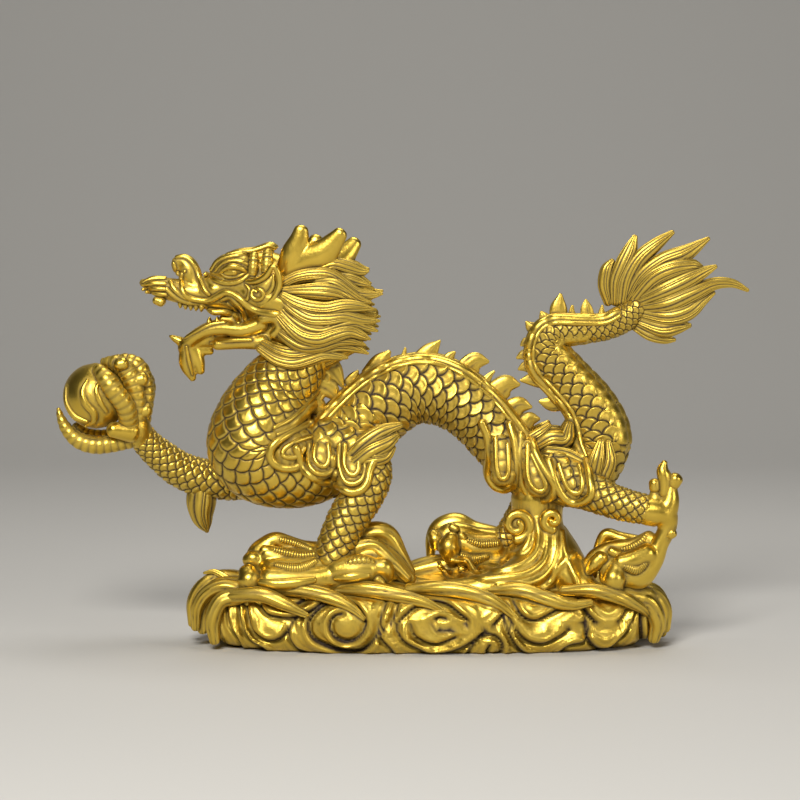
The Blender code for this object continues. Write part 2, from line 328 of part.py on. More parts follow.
# Banks of cloud on top of the base, and the locks of flame that hang over its two ends
cloud_banks = [
    [(-14, 11, 15, 3.0), (-8, 12, 18, 3.8), (-1, 12.5, 20, 4.4), (8, 12, 21, 4.8), (18, 11.5, 21, 5.4), (27, 8, 21, 6.5)],
    [(-55, -14, 15, 3.2), (-46, -15, 16.2, 4.2), (-32, -14, 17, 5.2), (-19, -13, 17.6, 5.0), (-9, -12, 16.4, 3.8)],
    [(-52, 4, 14, 4), (-40, 4, 15.4, 4.6), (-24, 5, 16, 4.6), (-8, 4, 15.6, 4)],
    [(44, -12, 15, 4.0), (55, -13.5, 16, 4.6), (64, -11, 14.8, 4.0)],
    [(42, 10, 14.6, 4.2), (54, 10, 15.4, 4.6), (63, 8, 14.4, 4.0)],
]
flame_locks = [
    [(-55, -13, 17, 3.2), (-61.6, -13, 18.8, 2.5), (-66.8, -12, 16.6, 2.3), (-69.8, -11, 12, 2.0), (-70.4, -10, 6, 1.4)],
    [(-57, -3, 18.4, 3.5), (-63.4, -3, 20.0, 2.6), (-68.8, -2.6, 17.4, 2.2), (-71.6, -2.2, 12.4, 2.0), (-71.8, -2, 6, 1.5)],
    [(-56, 9, 17, 3.2), (-62.6, 9, 18.4, 2.4), (-68, 8.4, 14.6, 2.1), (-70.6, 8, 8, 1.5)],
    [(-60, -5, 19.4, 1.6), (-64.8, -4.6, 22, 1.0), (-68, -4.2, 21.6, 0.5)],
    [(-57, -9, 18.4, 3.0), (-64, -8.6, 18, 2.6), (-68, -8, 12, 2.5), (-68.4, -7.6, 5, 1.8)],
    [(-57, -16.4, 16.4, 2.6), (-62.4, -16.6, 15, 2.4), (-65, -16, 9, 2.4), (-64.4, -15.6, 3, 1.7)],
    [(-57, 3, 18.4, 3.2), (-64.6, 3.4, 18, 2.6), (-69, 3.2, 12, 2.5), (-69.4, 3, 5, 1.8)],
    [(-57, 14, 16.4, 2.6), (-63.4, 14.4, 14.6, 2.4), (-66, 14, 9, 2.4), (-65.4, 13.6, 3, 1.7)],
    [(60, -7, 15, 3.6), (66, -6.6, 15, 3.2), (69.4, -6, 11.2, 2.8), (69.6, -5.6, 5.4, 2.4)],
    [(60, 7.4, 14.6, 3.4), (65.6, 7.2, 14.4, 3.2), (69, 6.8, 9.6, 2.8), (69, 6.4, 4.4, 2.2)],
    [(60, -13, 15, 3.2), (65, -12.8, 13.4, 2.9), (67.4, -12.2, 8, 2.6), (66.4, -11.8, 3, 1.9)],
    [(62, 0, 16, 3.4), (67.4, 0, 14.6, 3.0), (70, 0, 8.6, 2.6), (69.4, 0, 3, 1.9)],
    [(60, 13, 15, 3.2), (65, 12.6, 13, 2.9), (67.2, 12, 7.6, 2.6), (66.2, 11.6, 3, 1.9)],
]

# Grooves between the clouds of the base: x and height on the drawn base, the same front and back
cloud_grooves = [
    [(-13, 19), (-16, 12), (-17.4, 7), (-22, 2.6), (-28, 2.1), (-34, 3.8), (-38.2, 6), (-39.6, 9.6), (-37, 13.2),
     (-32, 15.8), (-27, 16), (-23, 14), (-21, 11), (-21.6, 8), (-24.4, 5.6), (-28, 5), (-31.4, 6.6), (-32.8, 9.6),
     (-31.2, 12), (-28.6, 12.6)],
    [(-42, 12.4), (-45, 9.4), (-45.6, 6), (-43, 2.6), (-38.6, 0.4)],
    [(-57.4, 18), (-53.4, 12.6), (-49, 11.4), (-44, 11.4), (-38, 13.6), (-33, 16.8)],
    [(-60.4, 17), (-58.2, 9), (-56, 6.4), (-52, 4.8), (-48, 6), (-44.6, 9.6)],
    [(-63, 17.6), (-62, 10), (-58.4, 4.6), (-53.6, 1.8), (-52, -2)],
    [(-68, 16), (-66.6, 9), (-63, 4.6), (-61, -1)],
    [(-74, 14), (-72.6, 7), (-70, 1)],
    [(-80, 14), (-79, 8), (-77, 2)],
    [(-51, 16.4), (-47, 14.2), (-42, 15.4), (-37, 18)],
    [(-11, 19), (-10.8, 15), (-13, 10), (-16.4, 6.6), (-12.4, 2), (-13, -2)],
    [(-11.6, 9.2), (-9, 12), (-5, 14.7), (0, 16), (5, 15.2), (9, 12.8), (11.6, 10.4), (6, 8), (2, 8.2), (0.4, 10), (2, 11.8),
     (4.6, 11.4)],
    [(-11.6, 9.2), (-9, 5.4), (-4, 2.8), (0, 1.2), (6, 2), (12, 4.6), (17, 8), (21, 10.8), (23, 14), (20, 19)],
    [(-7, 10), (-5.4, 7), (-1.6, 5), (2.4, 4.6), (8, 6.4)],
    [(11, 0.4), (13, 4), (16, 6.6), (20, 7), (22.6, 4.6), (22, 1.4), (19, 0.3), (17.6, 2), (18.6, 3.9)],
    [(22.6, 13.6), (24, 9), (27, 4), (31, 0.8), (36, -0.8)],
    [(24, 13), (27, 8.4), (31, 5.2), (36, 4.4), (41, 6.4), (45, 8.6), (50, 10.2)],
    [(40, 0), (44, 3.4), (49, 4.6), (50.4, 8)],
    [(49.4, 11), (50, 6), (53, 2.6), (57, 2), (61, 4.6), (64, 7.2), (67, 12), (67, 19)],
    [(46, 18), (50, 12.4), (54, 9.2), (58, 8.8), (62, 11.2), (65, 15)],
    [(26, 16), (29, 12.2), (33, 10.8), (38, 12.6), (44, 15)],
    [(70, 17), (70, 9), (71.4, 4), (76, 0)],
    [(76, 17), (75, 9), (78, 4), (82, 1)],
]


def at(x, y, z):
    """The place of a point of the pose, in metres"""
    return Vector((x * share, y * share, (z - shares_under_deck) * share + base_height))


def smooth_row(rows, steps):
    """A smooth curve through rows of numbers, with this many steps between two of them"""
    rows = [np.array(row, float) for row in rows]
    ends = [2 * rows[0] - rows[1], *rows, 2 * rows[-1] - rows[-2]]
    found = []
    for before, here, after, beyond in zip(ends, ends[1:], ends[2:], ends[3:]):
        for step in range(steps):
            t = step / steps
            found.append(0.5 * (2 * here + (after - before) * t
                                + (2 * before - 5 * here + 4 * after - beyond) * t**2
                                + (3 * here - before - 3 * after + beyond) * t**3))
    return found + [rows[-1]]


def curve_mesh(sections, sides, flat):
    """A round tube through sections of centre and radius; flat below 1 makes it thinner from front to back"""
    curve = bpy.data.curves.new("form", "CURVE")
    curve.dimensions = "3D"
    curve.bevel_depth = 1.0
    curve.bevel_resolution = sides
    curve.use_fill_caps = True
    spline = curve.splines.new("POLY")
    spline.points.add(len(sections) - 1)
    middle = sum(centre.y for centre, radius in sections) / len(sections)
    for point, (centre, radius) in zip(spline.points, sections):
        point.co = (centre.x, (centre.y - middle) / flat, centre.z, 1)
        point.radius = radius
    form = bpy.data.objects.new("form", curve)
    bpy.context.scene.collection.objects.link(form)
    graph = bpy.context.evaluated_depsgraph_get()
    mesh = bpy.data.meshes.new_from_object(form.evaluated_get(graph))
    bpy.data.objects.remove(form)
    for vertex in mesh.vertices:
        vertex.co.y = vertex.co.y * flat + middle
    return mesh


def add_form(sculpture, rows, steps=3, sides=3, flat=1.0, mirror=False):
    """Adds a form of the pose, and its mirror image behind the middle if asked"""
    for side in (1, -1) if mirror else (1,):
        sections = [(at(row[0], side * row[1], row[2]), max(row[3], thinnest) * share) for row in smooth_row(rows, steps)]
        first, last = sections[0], sections[-1]
        ahead = (last[0] - sections[-2][0]).normalized()
        behind = (first[0] - sections[1][0]).normalized()
        rounded = [(first[0] + behind * first[1] * end_reach, first[1] * end_size), *sections,
                   (last[0] + ahead * last[1] * end_reach, last[1] * end_size)]
        add_mesh(sculpture, curve_mesh(rounded, sides, flat))


def add_mesh(sculpture, mesh):
    sculpture.from_mesh(mesh)
    bpy.data.meshes.remove(mesh)


def add_body(sculpture):
    add_form(sculpture, body_spine, steps=4, sides=6)
    for fin in back_fins:
        add_form(sculpture, fin, flat=fin_thickness)


def add_limbs(sculpture):
    for limb in (near_foreleg, far_arm, near_hind_leg, far_hind_leg):
        add_form(sculpture, limb, steps=3, sides=4)
    for toe in near_forefoot + near_hindfoot + far_hindfoot + foot_bulbs:
        add_form(sculpture, toe)
    for tuft in ankle_tufts + [elbow_tuft]:
        add_form(sculpture, tuft)
    for tuft in near_tufts:
        add_form(sculpture, tuft, mirror=True)
    for lobe in near_lobes:
        add_form(sculpture, lobe, flat=lobe_thickness, mirror=True)
    for rim in near_rims:
        add_form(sculpture, rim, mirror=True)


def add_head(sculpture):
    for form in head_forms:
        add_form(sculpture, form, sides=4)
    for form in paired_head_forms.values():
        add_form(sculpture, form, mirror=True)
    for form in antler_forms:
        add_form(sculpture, form, flat=antler_thickness)
        behind = [(x + far_antler_setback, -y, z - far_antler_drop, r) for x, y, z, r in form]
        add_form(sculpture, behind, flat=antler_thickness)
    for form in mane_core:
        add_form(sculpture, form, sides=4)
    for lock in mane_locks:
        add_form(sculpture, lock, flat=lock_thickness, mirror=True)


def add_tail_tuft(sculpture):
    for lock in tail_locks:
        add_form(sculpture, lock, flat=tail_lock_thickness)


def add_pearl(sculpture):
    """The pearl, held at the end of the arm, and the hand that closes round it"""
    middle = at(*far_arm[-1][:3]) - Vector(wrist_reach) * pearl_radius
    pearl = bmesh.ops.create_uvsphere(sculpture, u_segments=32, v_segments=20, radius=pearl_radius)
    bmesh.ops.translate(sculpture, verts=pearl["verts"], vec=middle)
    for form in hand_forms:
        sections = [(middle + Vector(row[:3]) * pearl_radius, row[3] * pearl_radius) for row in smooth_row(form, 3)]
        add_mesh(sculpture, curve_mesh(sections, 3, 1.0))


def groove_depths(points, grooves):
    """How close each point is to a groove: 1 in the groove, 0 on the crown of a cloud"""
    samples = np.array([row for groove in grooves for row in smooth_row(groove, 8)])
    tree = KDTree(len(samples))
    for index, (x, z) in enumerate(samples):
        tree.insert((x, z, 0), index)
    tree.balance()
    return np.array([max(0.0, 1 - tree.find((x, z, 0))[2] / groove_reach) ** groove_fall for x, z in points])


def add_base(sculpture):
    """A rounded slab, swollen at mid height, with the clouds cut into its sides"""
    slab = bmesh.new()
    bmesh.ops.create_uvsphere(slab, u_segments=224, v_segments=56, radius=1.0)
    places = np.array([vertex.co for vertex in slab.verts])
    slab.verts.ensure_lookup_table()
    ring = np.arctan2(places[:, 1], places[:, 0])
    height = places[:, 2]
    outward = np.sqrt(np.maximum(1 - height**2, 0)) ** wall_power
    flat_x = np.sign(np.cos(ring)) * np.abs(np.cos(ring)) ** end_power
    flat_y = np.sign(np.sin(ring)) * np.abs(np.sin(ring)) ** side_power
    lean = 1 - lean_at_deck * np.maximum(height, 0) ** 2 - lean_at_table * np.maximum(-height, 0)
    x = flat_x * outward * lean
    y = flat_y * outward * lean
    z = np.sign(height) * np.abs(height) ** deck_power
    # The clouds run on round both ends, so the drawing is wider than the base there
    past = np.maximum(np.abs(x) - end_begins, 0) / (1 - end_begins) * (1 - np.abs(y)) / 2
    unrolled = x * shares_along_base / 2 + np.sign(x) * shares_round_end * past
    depth = groove_depths(np.stack([unrolled, (z + 1) / 2 * shares_up_base], 1), cloud_grooves)
    # The relief fades out on the flat deck and on the underside
    fade = np.clip((1.02 - np.abs(height)) * 2.4, 0, 1)
    puff = (1 - depth) * fade * relief_depth
    tilt = np.stack([x * base_height / base_depth, y, z * base_height / base_length], 1)
    tilt /= np.linalg.norm(tilt, axis=1)[:, None] + 1e-9
    swell = 1 - relief_depth / (base_depth / 2)
    for index, vertex in enumerate(slab.verts):
        place = Vector((x[index] * base_length / 2 * swell, y[index] * base_depth / 2 * swell,
                        base_height * (widest_level + (1 - widest_level) * z[index])))
        vertex.co = place + Vector(tilt[index]) * puff[index]
    mesh = bpy.data.meshes.new("base")
    slab.to_mesh(mesh)
    slab.free()
    add_mesh(sculpture, mesh)


def add_pillar(sculpture):
    add_form(sculpture, pillar, sides=5)
    for slope in pillar_slopes:
        add_form(sculpture, slope, sides=4, mirror=True)
    for form in cloud_banks + flame_locks:
        add_form(sculpture, form)
    for x, y, z, radius, turns, winding in pillar_curls:
        rows = []
        for step in range(curl_steps + 1):
            part = step / curl_steps
            angle = winding * part * turns * math.tau
            reach = radius * (1 - curl_thinning * part)
            rows.append((x + reach * math.sin(angle), y - curl_rise * part, z - reach * math.cos(angle),
                         curl_tube - curl_thinning * part))
        add_form(sculpture, rows, steps=1)
        # The hub joins the curl to the middle of the pillar
        add_form(sculpture, [(x, 0, z, radius), (x, y, z, radius * 0.8)])


def gold():
    material = bpy.data.materials.new("gilded casting")
    material.use_nodes = True
    shader = material.node_tree.nodes["Principled BSDF"]
    shader.inputs["Base Color"].default_value = (*dragon_gold, 1)
    shader.inputs["Metallic"].default_value = 1.0
    shader.inputs["Roughness"].default_value = gold_roughness
    return material


def cast(sculpture):
    """Fuses all the forms into one skin, thins its faces and cuts the underside flat"""
    mesh = bpy.data.meshes.new("dragon_statue")
    sculpture.to_mesh(mesh)
    sculpture.free()
    statue = bpy.data.objects.new("dragon_statue", mesh)
    collection = bpy.data.collections.new("Dragon sculpture")
    bpy.context.scene.collection.children.link(collection)
    collection.objects.link(statue)
    statue.data.materials.append(gold())
    fuse = statue.modifiers.new("Fuse", "REMESH")
    fuse.mode = "VOXEL"
    fuse.voxel_size = cast_grain
    soften = statue.modifiers.new("Soften", "SMOOTH")
    soften.factor = 0.5
    soften.iterations = 2
    graph = bpy.context.evaluated_depsgraph_get()
    fused_faces = 2 * len(statue.evaluated_get(graph).data.polygons)
    thin = statue.modifiers.new("Thin", "DECIMATE")
    thin.ratio = min(1.0, most_triangles / fused_faces)

    cutters = bpy.data.collections.new("Cutters")
    bpy.context.scene.collection.children.link(cutters)
    bpy.ops.mesh.primitive_cube_add(size=1)
    table = bpy.context.object
    table.name = "below the table"
    table.scale = (2 * statue_length, 2 * statue_length, base_height)
    table.location.z = -base_height / 2
    for collection in list(table.users_collection):
        collection.objects.unlink(table)
    cutters.objects.link(table)
    table.hide_render = True
    table.display_type = "WIRE"
    flatten = statue.modifiers.new("Flat underside", "BOOLEAN")
    flatten.operation = "DIFFERENCE"
    flatten.object = table


def main():
    for old in list(bpy.data.objects):
        bpy.data.objects.remove(old)
    sculpture = bmesh.new()
    add_base(sculpture)
    add_pillar(sculpture)
    add_body(sculpture)
    add_limbs(sculpture)
    add_head(sculpture)
    add_tail_tuft(sculpture)
    add_pearl(sculpture)
    cast(sculpture)


main()
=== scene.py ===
# Gilded dragon on a cloud base: the carving and the paint, built round the cast solid.
# Lengths are millimetres in the tables and metres in the scene; the head points to -X and the front to -Y.
import math

import bmesh
import bpy
import numpy as np
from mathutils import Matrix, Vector
from mathutils.bvhtree import BVHTree
from mathutils.kdtree import KDTree


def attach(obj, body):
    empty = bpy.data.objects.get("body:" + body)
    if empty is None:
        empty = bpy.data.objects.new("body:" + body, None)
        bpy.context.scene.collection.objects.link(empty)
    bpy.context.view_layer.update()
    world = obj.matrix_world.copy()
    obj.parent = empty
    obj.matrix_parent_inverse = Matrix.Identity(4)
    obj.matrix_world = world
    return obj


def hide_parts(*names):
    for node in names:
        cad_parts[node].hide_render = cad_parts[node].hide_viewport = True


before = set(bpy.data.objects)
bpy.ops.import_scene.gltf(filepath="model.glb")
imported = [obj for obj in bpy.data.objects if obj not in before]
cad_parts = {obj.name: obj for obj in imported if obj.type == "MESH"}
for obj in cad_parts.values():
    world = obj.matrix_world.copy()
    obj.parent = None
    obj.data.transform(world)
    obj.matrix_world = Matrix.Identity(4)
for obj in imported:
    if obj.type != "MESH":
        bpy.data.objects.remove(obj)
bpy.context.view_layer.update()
mm = 0.001
print("frame loaded")

# The view that the statue is drawn in: 5 degrees down, from a metre away
view = {"target": (-9.3, 0, 73.35), "distance": 1000, "elevation": 5, "lens": 150}
pieces = {}   # piece name: list of its closed shells


def smoothRow(rows, steps):
    rows = [np.array(row, float) for row in rows]
    ends = [2 * rows[0] - rows[1], *rows, 2 * rows[-1] - rows[-2]]
    found = []
    for before, here, after, beyond in zip(ends, ends[1:], ends[2:], ends[3:]):
        for step in range(steps):
            t = step / steps
            found.append(0.5 * (2 * here + (after - before) * t
                                + (2 * before - 5 * here + 4 * after - beyond) * t**2
                                + (3 * here - before - 3 * after + beyond) * t**3))
    return np.array(found + [rows[-1]])


def evenRow(rows, step):
    # the same curve with its sections a given step apart, and how far along each one is
    fine = smoothRow(rows, 12)
    walked = np.concatenate([[0], np.cumsum(np.linalg.norm(np.diff(fine[:, :3], axis=0), axis=1))])
    count = max(3, round(walked[-1] / step))
    along = np.linspace(0, walked[-1], count + 1)
    found = np.stack([np.interp(along, walked, fine[:, k]) for k in range(fine.shape[1])], 1)
    found[:, 3] = np.maximum(found[:, 3], 0.22)
    return found[:, :3], found[:, 3], along


def directions(centres):
    # along the form, towards the back of the statue, and across both
    ahead = np.gradient(centres, axis=0)
    ahead /= np.linalg.norm(ahead, axis=1)[:, None] + 1e-12
    side = np.array([0.0, 1.0, 0.0]) - ahead * ahead[:, 1:2]
    side /= np.linalg.norm(side, axis=1)[:, None] + 1e-12
    return ahead, side, np.cross(ahead, side)


def roundedEnds(centres, radii, along, ahead, bulge):
    # small rings that round off both ends of a form
    angles = np.radians([82, 62, 40, 20])
    lift, shrink = np.sin(angles)[:, None], np.cos(angles)
    head = centres[0] - ahead[0] * radii[0] * bulge * lift
    tail = centres[-1] + ahead[-1] * radii[-1] * bulge * lift
    return (np.concatenate([head, centres, tail[::-1]]),
            np.concatenate([radii[0] * shrink, radii, (radii[-1] * shrink)[::-1]]),
            np.concatenate([along[0] - radii[0] * bulge * lift[:, 0], along,
                            along[-1] + radii[-1] * bulge * lift[::-1, 0]]))


def gridFaces(rings, around):
    ring, turn = np.meshgrid(np.arange(rings - 1), np.arange(around), indexing="ij")
    here, beside = ring * around + turn, ring * around + (turn + 1) % around
    quads = np.stack([here, here + around, beside + around, beside], -1).reshape(-1, 4)
    first, last = rings * around, rings * around + 1
    turns = np.arange(around)
    caps = [np.stack([np.full(around, first), turns, (turns + 1) % around], 1)]
    end = (rings - 1) * around
    caps.append(np.stack([np.full(around, last), end + (turns + 1) % around, end + turns], 1))
    return quads.tolist() + np.concatenate(caps).tolist()


def plain(along, turn, radius):
    return 0.0 * turn, 0.0 * turn, 0.0 * turn


def tube(rows, step=0.8, around=24, flat=1.0, relief=plain, bulge=0.8):
    # a closed form swept through round sections, with relief on it
    centres, radii, along = evenRow(rows, step)
    ahead, side, across = directions(centres)
    centres2, radii2, along2 = roundedEnds(centres, radii, along, ahead, bulge)
    ahead, side, across = [np.concatenate([np.repeat(d[:1], 4, 0), d, np.repeat(d[-1:], 4, 0)])
                           for d in (ahead, side, across)]
    turn, walked = np.meshgrid(np.arange(around) / around, along2)
    radius = np.repeat(radii2[:, None], around, 1)
    height, dark, shift = relief(walked, turn, radius)
    fade = np.clip(radius / 0.9, 0, 1)
    angle = (turn + shift) * math.tau
    reach = radius + height * fade
    places = (centres2[:, None] + across[:, None] * (reach * np.cos(angle))[..., None]
              + side[:, None] * (reach * np.sin(angle) * flat)[..., None])
    poles = [centres[0] - ahead[0] * radii[0] * bulge, centres[-1] + ahead[-1] * radii[-1] * bulge]
    places = np.concatenate([places.reshape(-1, 3), poles])
    return {"places": places, "faces": gridFaces(len(radii2), around),
            "dark": np.concatenate([dark.reshape(-1), [0, 0]]), "core": centres, "radii": radii,
            "flat": flat}


def mirrored(rows):
    return [(row[0], -row[1], *row[2:]) for row in rows]


def swollen(rows, by):
    return [(x, y, z, r * by) for x, y, z, r in rows]


def strands(count, depth, seed=0.0):
    # rope of hair: four columns of points to a strand, one of them in the groove
    def relief(along, turn, radius):
        strand = turn * count
        ridge = np.take([0.0, 0.74, 1.0, 0.74], np.round(strand * 4).astype(int) % 4)
        drift = 0.3 * np.sin(strand * 2.1 + seed) + 0.22 * np.sin(along / 5.3 + seed * 1.7 + strand * 0.6)
        uneven = 0.75 + 0.25 * np.sin(strand.round() * 2.4 + seed + along / 9)
        # the grooves between strands are painted darker: brown wash with painted shade
        return (ridge - 1) * depth * uneven, (1 - ridge) ** 1.3 * 0.95, drift / count
    return relief


def ribs(period, depth, phase=0.0, sharp=0.55):
    # rounded ribs across the form
    def relief(along, turn, radius):
        wave = np.abs(np.sin(math.pi * (along / period + phase)))
        ridge = wave ** sharp
        # the grooves between ribs are painted darker: brown wash with painted shade
        return (ridge - 1) * depth, (1 - ridge) ** 1.2, 0 * turn
    return relief


def flow(count, depth, seed=0.0):
    # long ridges that wander along the form, as in carved cloud and flame
    def relief(along, turn, radius):
        strand = turn * count + 0.35 * np.sin(along / 7 + seed) + 0.2 * np.sin(turn * 9 + seed * 2)
        ridge = np.abs(np.sin(math.pi * strand)) ** 0.6
        # the grooves between ridges are painted darker: brown wash with painted shade
        return (ridge - 1) * depth, (1 - ridge) ** 1.5 * 0.9, 0 * turn
    return relief


def addTube(piece, rows, mirror=False, **how):
    pieces.setdefault(piece, []).append(tube(rows, **how))
    if mirror:
        pieces[piece].append(tube(mirrored(rows), **how))


def scaleSkin(rows, skin):
    # a tube whose mesh is cut along the lattice of its scales, so that each scale has its own edges
    centres, radii, along = evenRow(rows, 0.25)
    ahead, side, across = directions(centres)
    around = skin["around"]
    bent = np.linalg.norm(np.gradient(ahead, along, axis=0), axis=1) * radii * 0.6
    spacing = skin["stretch"] * math.tau * radii / around / (1 + bent)
    rowsWalked = np.concatenate([[0], np.cumsum(np.diff(along) / ((spacing[1:] + spacing[:-1]) / 2))])
    total = max(3, round(rowsWalked[-1]))
    rowsWalked *= total / rowsWalked[-1]
    knots = np.array(skin.get("knots", (0, 0.07, 0.2, 0.45, 0.72, 0.88, 0.95)))
    last = len(knots)
    # scale (i, j): i + j counts half rows along the form, i - j half scales round it
    halfRows = np.arange(-2, 2 * total + 6)
    half, place = np.meshgrid(halfRows, np.arange(around), indexing="ij")
    across2 = 2 * place + half % 2
    first, second = (half + across2) / 2.0, (half - across2) / 2.0
    f, g = np.meshgrid(knots, knots, indexing="ij")
    a = first[..., None, None] + f
    b = second[..., None, None] + g
    seed = np.sin(half * 12.9898 + (across2 % (2 * around)) * 78.233) * 43758.5453
    own = (seed - np.floor(seed))[..., None, None]
    middle = (f + g) / 2
    edge = np.maximum(f, g)
    root = np.minimum(f, g)
    drop = np.clip((1 - edge) / 0.1, 0, 1)
    rim = np.exp(-((1 - edge - 0.13) / 0.1) ** 2)
    start = np.clip(root / 0.12, 0, 1)
    swell = skin["dome"] * np.sin(math.pi * middle) * start
    height = (skin["tilt"] * middle + skin["rim"] * rim + swell) * drop
    height = height * (0.85 + 0.3 * own) - skin["groove"] * np.maximum(1 - drop, (1 - start) * 0.8)
    # painted colour of the scales: groove lines get the brown wash with painted shade, and each scale
    # darkens towards its root in the painted shadow of the scale above
    dark = skin["line"] * np.maximum(1 - drop, 1 - start) ** 0.6 + skin["shade"] * (1 - middle) ** 1.5
    dark = np.clip(dark, 0, 1)
    bend = skin["round"]
    a2 = a + bend * np.sin(math.pi * (b - np.floor(b))) ** 0.9
    b2 = b + bend * np.sin(math.pi * (a - np.floor(a))) ** 0.9
    u = (a2 + b2) / 2 - bend * 0.6
    turn = (a2 - b2) / 2 / around
    over = np.clip(np.where(u < 0, u, np.maximum(u - total, 0)), -1, 1)
    walked = np.interp(u, rowsWalked, along)

    def onRow(values):
        return np.stack([np.interp(walked, along, values[:, k]) for k in range(3)], -1)

    radius = np.interp(walked, along, radii)
    shrink = np.cos(over * math.pi / 2)
    shrink[np.abs(over) >= 1] = 0
    relief = height * np.clip(radius / skin["full"], 0.35, 1) * shrink
    reach = radius * shrink + relief
    angle = turn * math.tau
    centre = onRow(centres) + onRow(ahead) * (np.sin(over * math.pi / 2) * radius * 0.6)[..., None]
    places = (centre + onRow(across) * (reach * np.cos(angle))[..., None]
              + onRow(side) * (reach * np.sin(angle))[..., None])

    def corner(row, column, k, m):
        # the number of knot (k, m) of a scale; knots past its last one belong to its neighbours
        stepA, stepB = k // last, m // last
        newHalf = row + stepA + stepB
        newAcross = (2 * column + (halfRows[0] + row) % 2 + stepA - stepB) % (2 * around)
        newPlace = (newAcross - (halfRows[0] + newHalf) % 2) // 2 % around
        return ((newHalf * around + newPlace) * last + k % last) * last + m % last

    counts = (len(halfRows) - 2, around, last, last)
    row, column, k, m = np.meshgrid(*[np.arange(count) for count in counts], indexing="ij")
    faces = np.stack([corner(row, column, k, m), corner(row, column, k + 1, m),
                      corner(row, column, k + 1, m + 1), corner(row, column, k, m + 1)], -1).reshape(-1, 4)
    flatPlaces = places.reshape(-1, 3)
    body = bmesh.new()
    layer = body.verts.layers.float.new("dark")
    for place, shade in zip(flatPlaces.tolist(), np.broadcast_to(dark, radius.shape).reshape(-1).tolist()):
        body.verts.new(place)[layer] = shade
    body.verts.ensure_lookup_table()
    outside = np.abs(over.reshape(-1)) >= 1
    for face in faces[~outside[faces].all(1)].tolist():
        body.faces.new([body.verts[corner] for corner in face])
    bmesh.ops.delete(body, geom=[vertex for vertex in body.verts if not vertex.link_faces], context="VERTS")

    def isEnd(vertex):
        return vertex.is_boundary or any(edge.calc_length() < 1e-4 for edge in vertex.link_edges)

    bmesh.ops.remove_doubles(body, verts=[vertex for vertex in body.verts if isEnd(vertex)], dist=1e-3)
    bmesh.ops.recalc_face_normals(body, faces=body.faces)
    body.verts.ensure_lookup_table()
    body.verts.index_update()
    shell = {"places": np.array([vertex.co[:] for vertex in body.verts]),
             "faces": [[vertex.index for vertex in face.verts] for face in body.faces],
             "dark": np.array([vertex[layer] for vertex in body.verts]),
             "core": centres[::3], "radii": radii[::3], "flat": 1.0}
    body.free()
    return shell


def fused(shells, grain, softness, most):
    # several forms run together into one skin, as a sculptor smooths wax
    mesh = bpy.data.meshes.new("fused")
    places, faces = joined(shells)
    mesh.from_pydata(places.tolist(), [], faces)
    melting = bpy.data.objects.new("fused", mesh)
    bpy.context.scene.collection.objects.link(melting)
    melt = melting.modifiers.new("Melt", "REMESH")
    melt.mode = "VOXEL"
    melt.voxel_size = grain
    soften = melting.modifiers.new("Soften", "SMOOTH")
    soften.factor = 0.5
    soften.iterations = softness
    graph = bpy.context.evaluated_depsgraph_get()
    count = 2 * len(melting.evaluated_get(graph).data.polygons)
    if count > most:
        thin = melting.modifiers.new("Thin", "DECIMATE")
        thin.ratio = most / count
    graph = bpy.context.evaluated_depsgraph_get()
    done = bpy.data.meshes.new_from_object(melting.evaluated_get(graph))
    found = np.zeros(len(done.vertices) * 3)
    done.vertices.foreach_get("co", found)
    shell = {"places": found.reshape(-1, 3), "faces": [list(face.vertices) for face in done.polygons],
             "dark": np.zeros(len(done.vertices)), "flat": 1.0, "melted": True,
             "core": np.concatenate([form["core"] for form in shells]),
             "radii": np.concatenate([form["radii"] * 0.98 for form in shells])}
    bpy.data.objects.remove(melting)
    bpy.data.meshes.remove(mesh)
    bpy.data.meshes.remove(done)
    return shell


def joined(shells):
    places, faces, start = [], [], 0
    for shell in shells:
        places.append(shell["places"])
        faces += [[corner + start for corner in face] for face in shell["faces"]]
        start += len(shell["places"])
    return np.concatenate(places), faces


def front(tree, x, z, lift=0.0):
    # the place where the statue's front shows a point of the drawing
    tilt = math.radians(view["elevation"])
    target = Vector(view["target"])
    up = Vector((0, math.sin(tilt), math.cos(tilt)))
    seen = target + Vector((x - target.x, 0, 0)) + up * (z - target.z)
    eye = target - Vector((0, math.cos(tilt), -math.sin(tilt))) * view["distance"]
    ray = (seen - eye).normalized()
    hit = tree.ray_cast(eye, ray)
    place = hit[0] if hit[0] else seen
    return place - ray * lift


def treeOfShells(shells):
    places, faces = joined(shells)
    return BVHTree.FromPolygons(places.tolist(), faces)


def treeOf(*names):
    return treeOfShells([shell for name in names for shell in pieces[name]])


def laidOn(tree, drawn, lift=0.0):
    # rows (x, z, radius) of the drawing, laid on the statue's front
    row = smoothRow(drawn, 3)
    places = np.array([front(tree, x, z, lift) for x, z, radius in row])
    for step in range(3):
        places[1:-1, 1] = (places[:-2, 1] + 2 * places[1:-1, 1] + places[2:, 1]) / 4
    return [(*place, radius) for place, radius in zip(places, row[:, 2])]


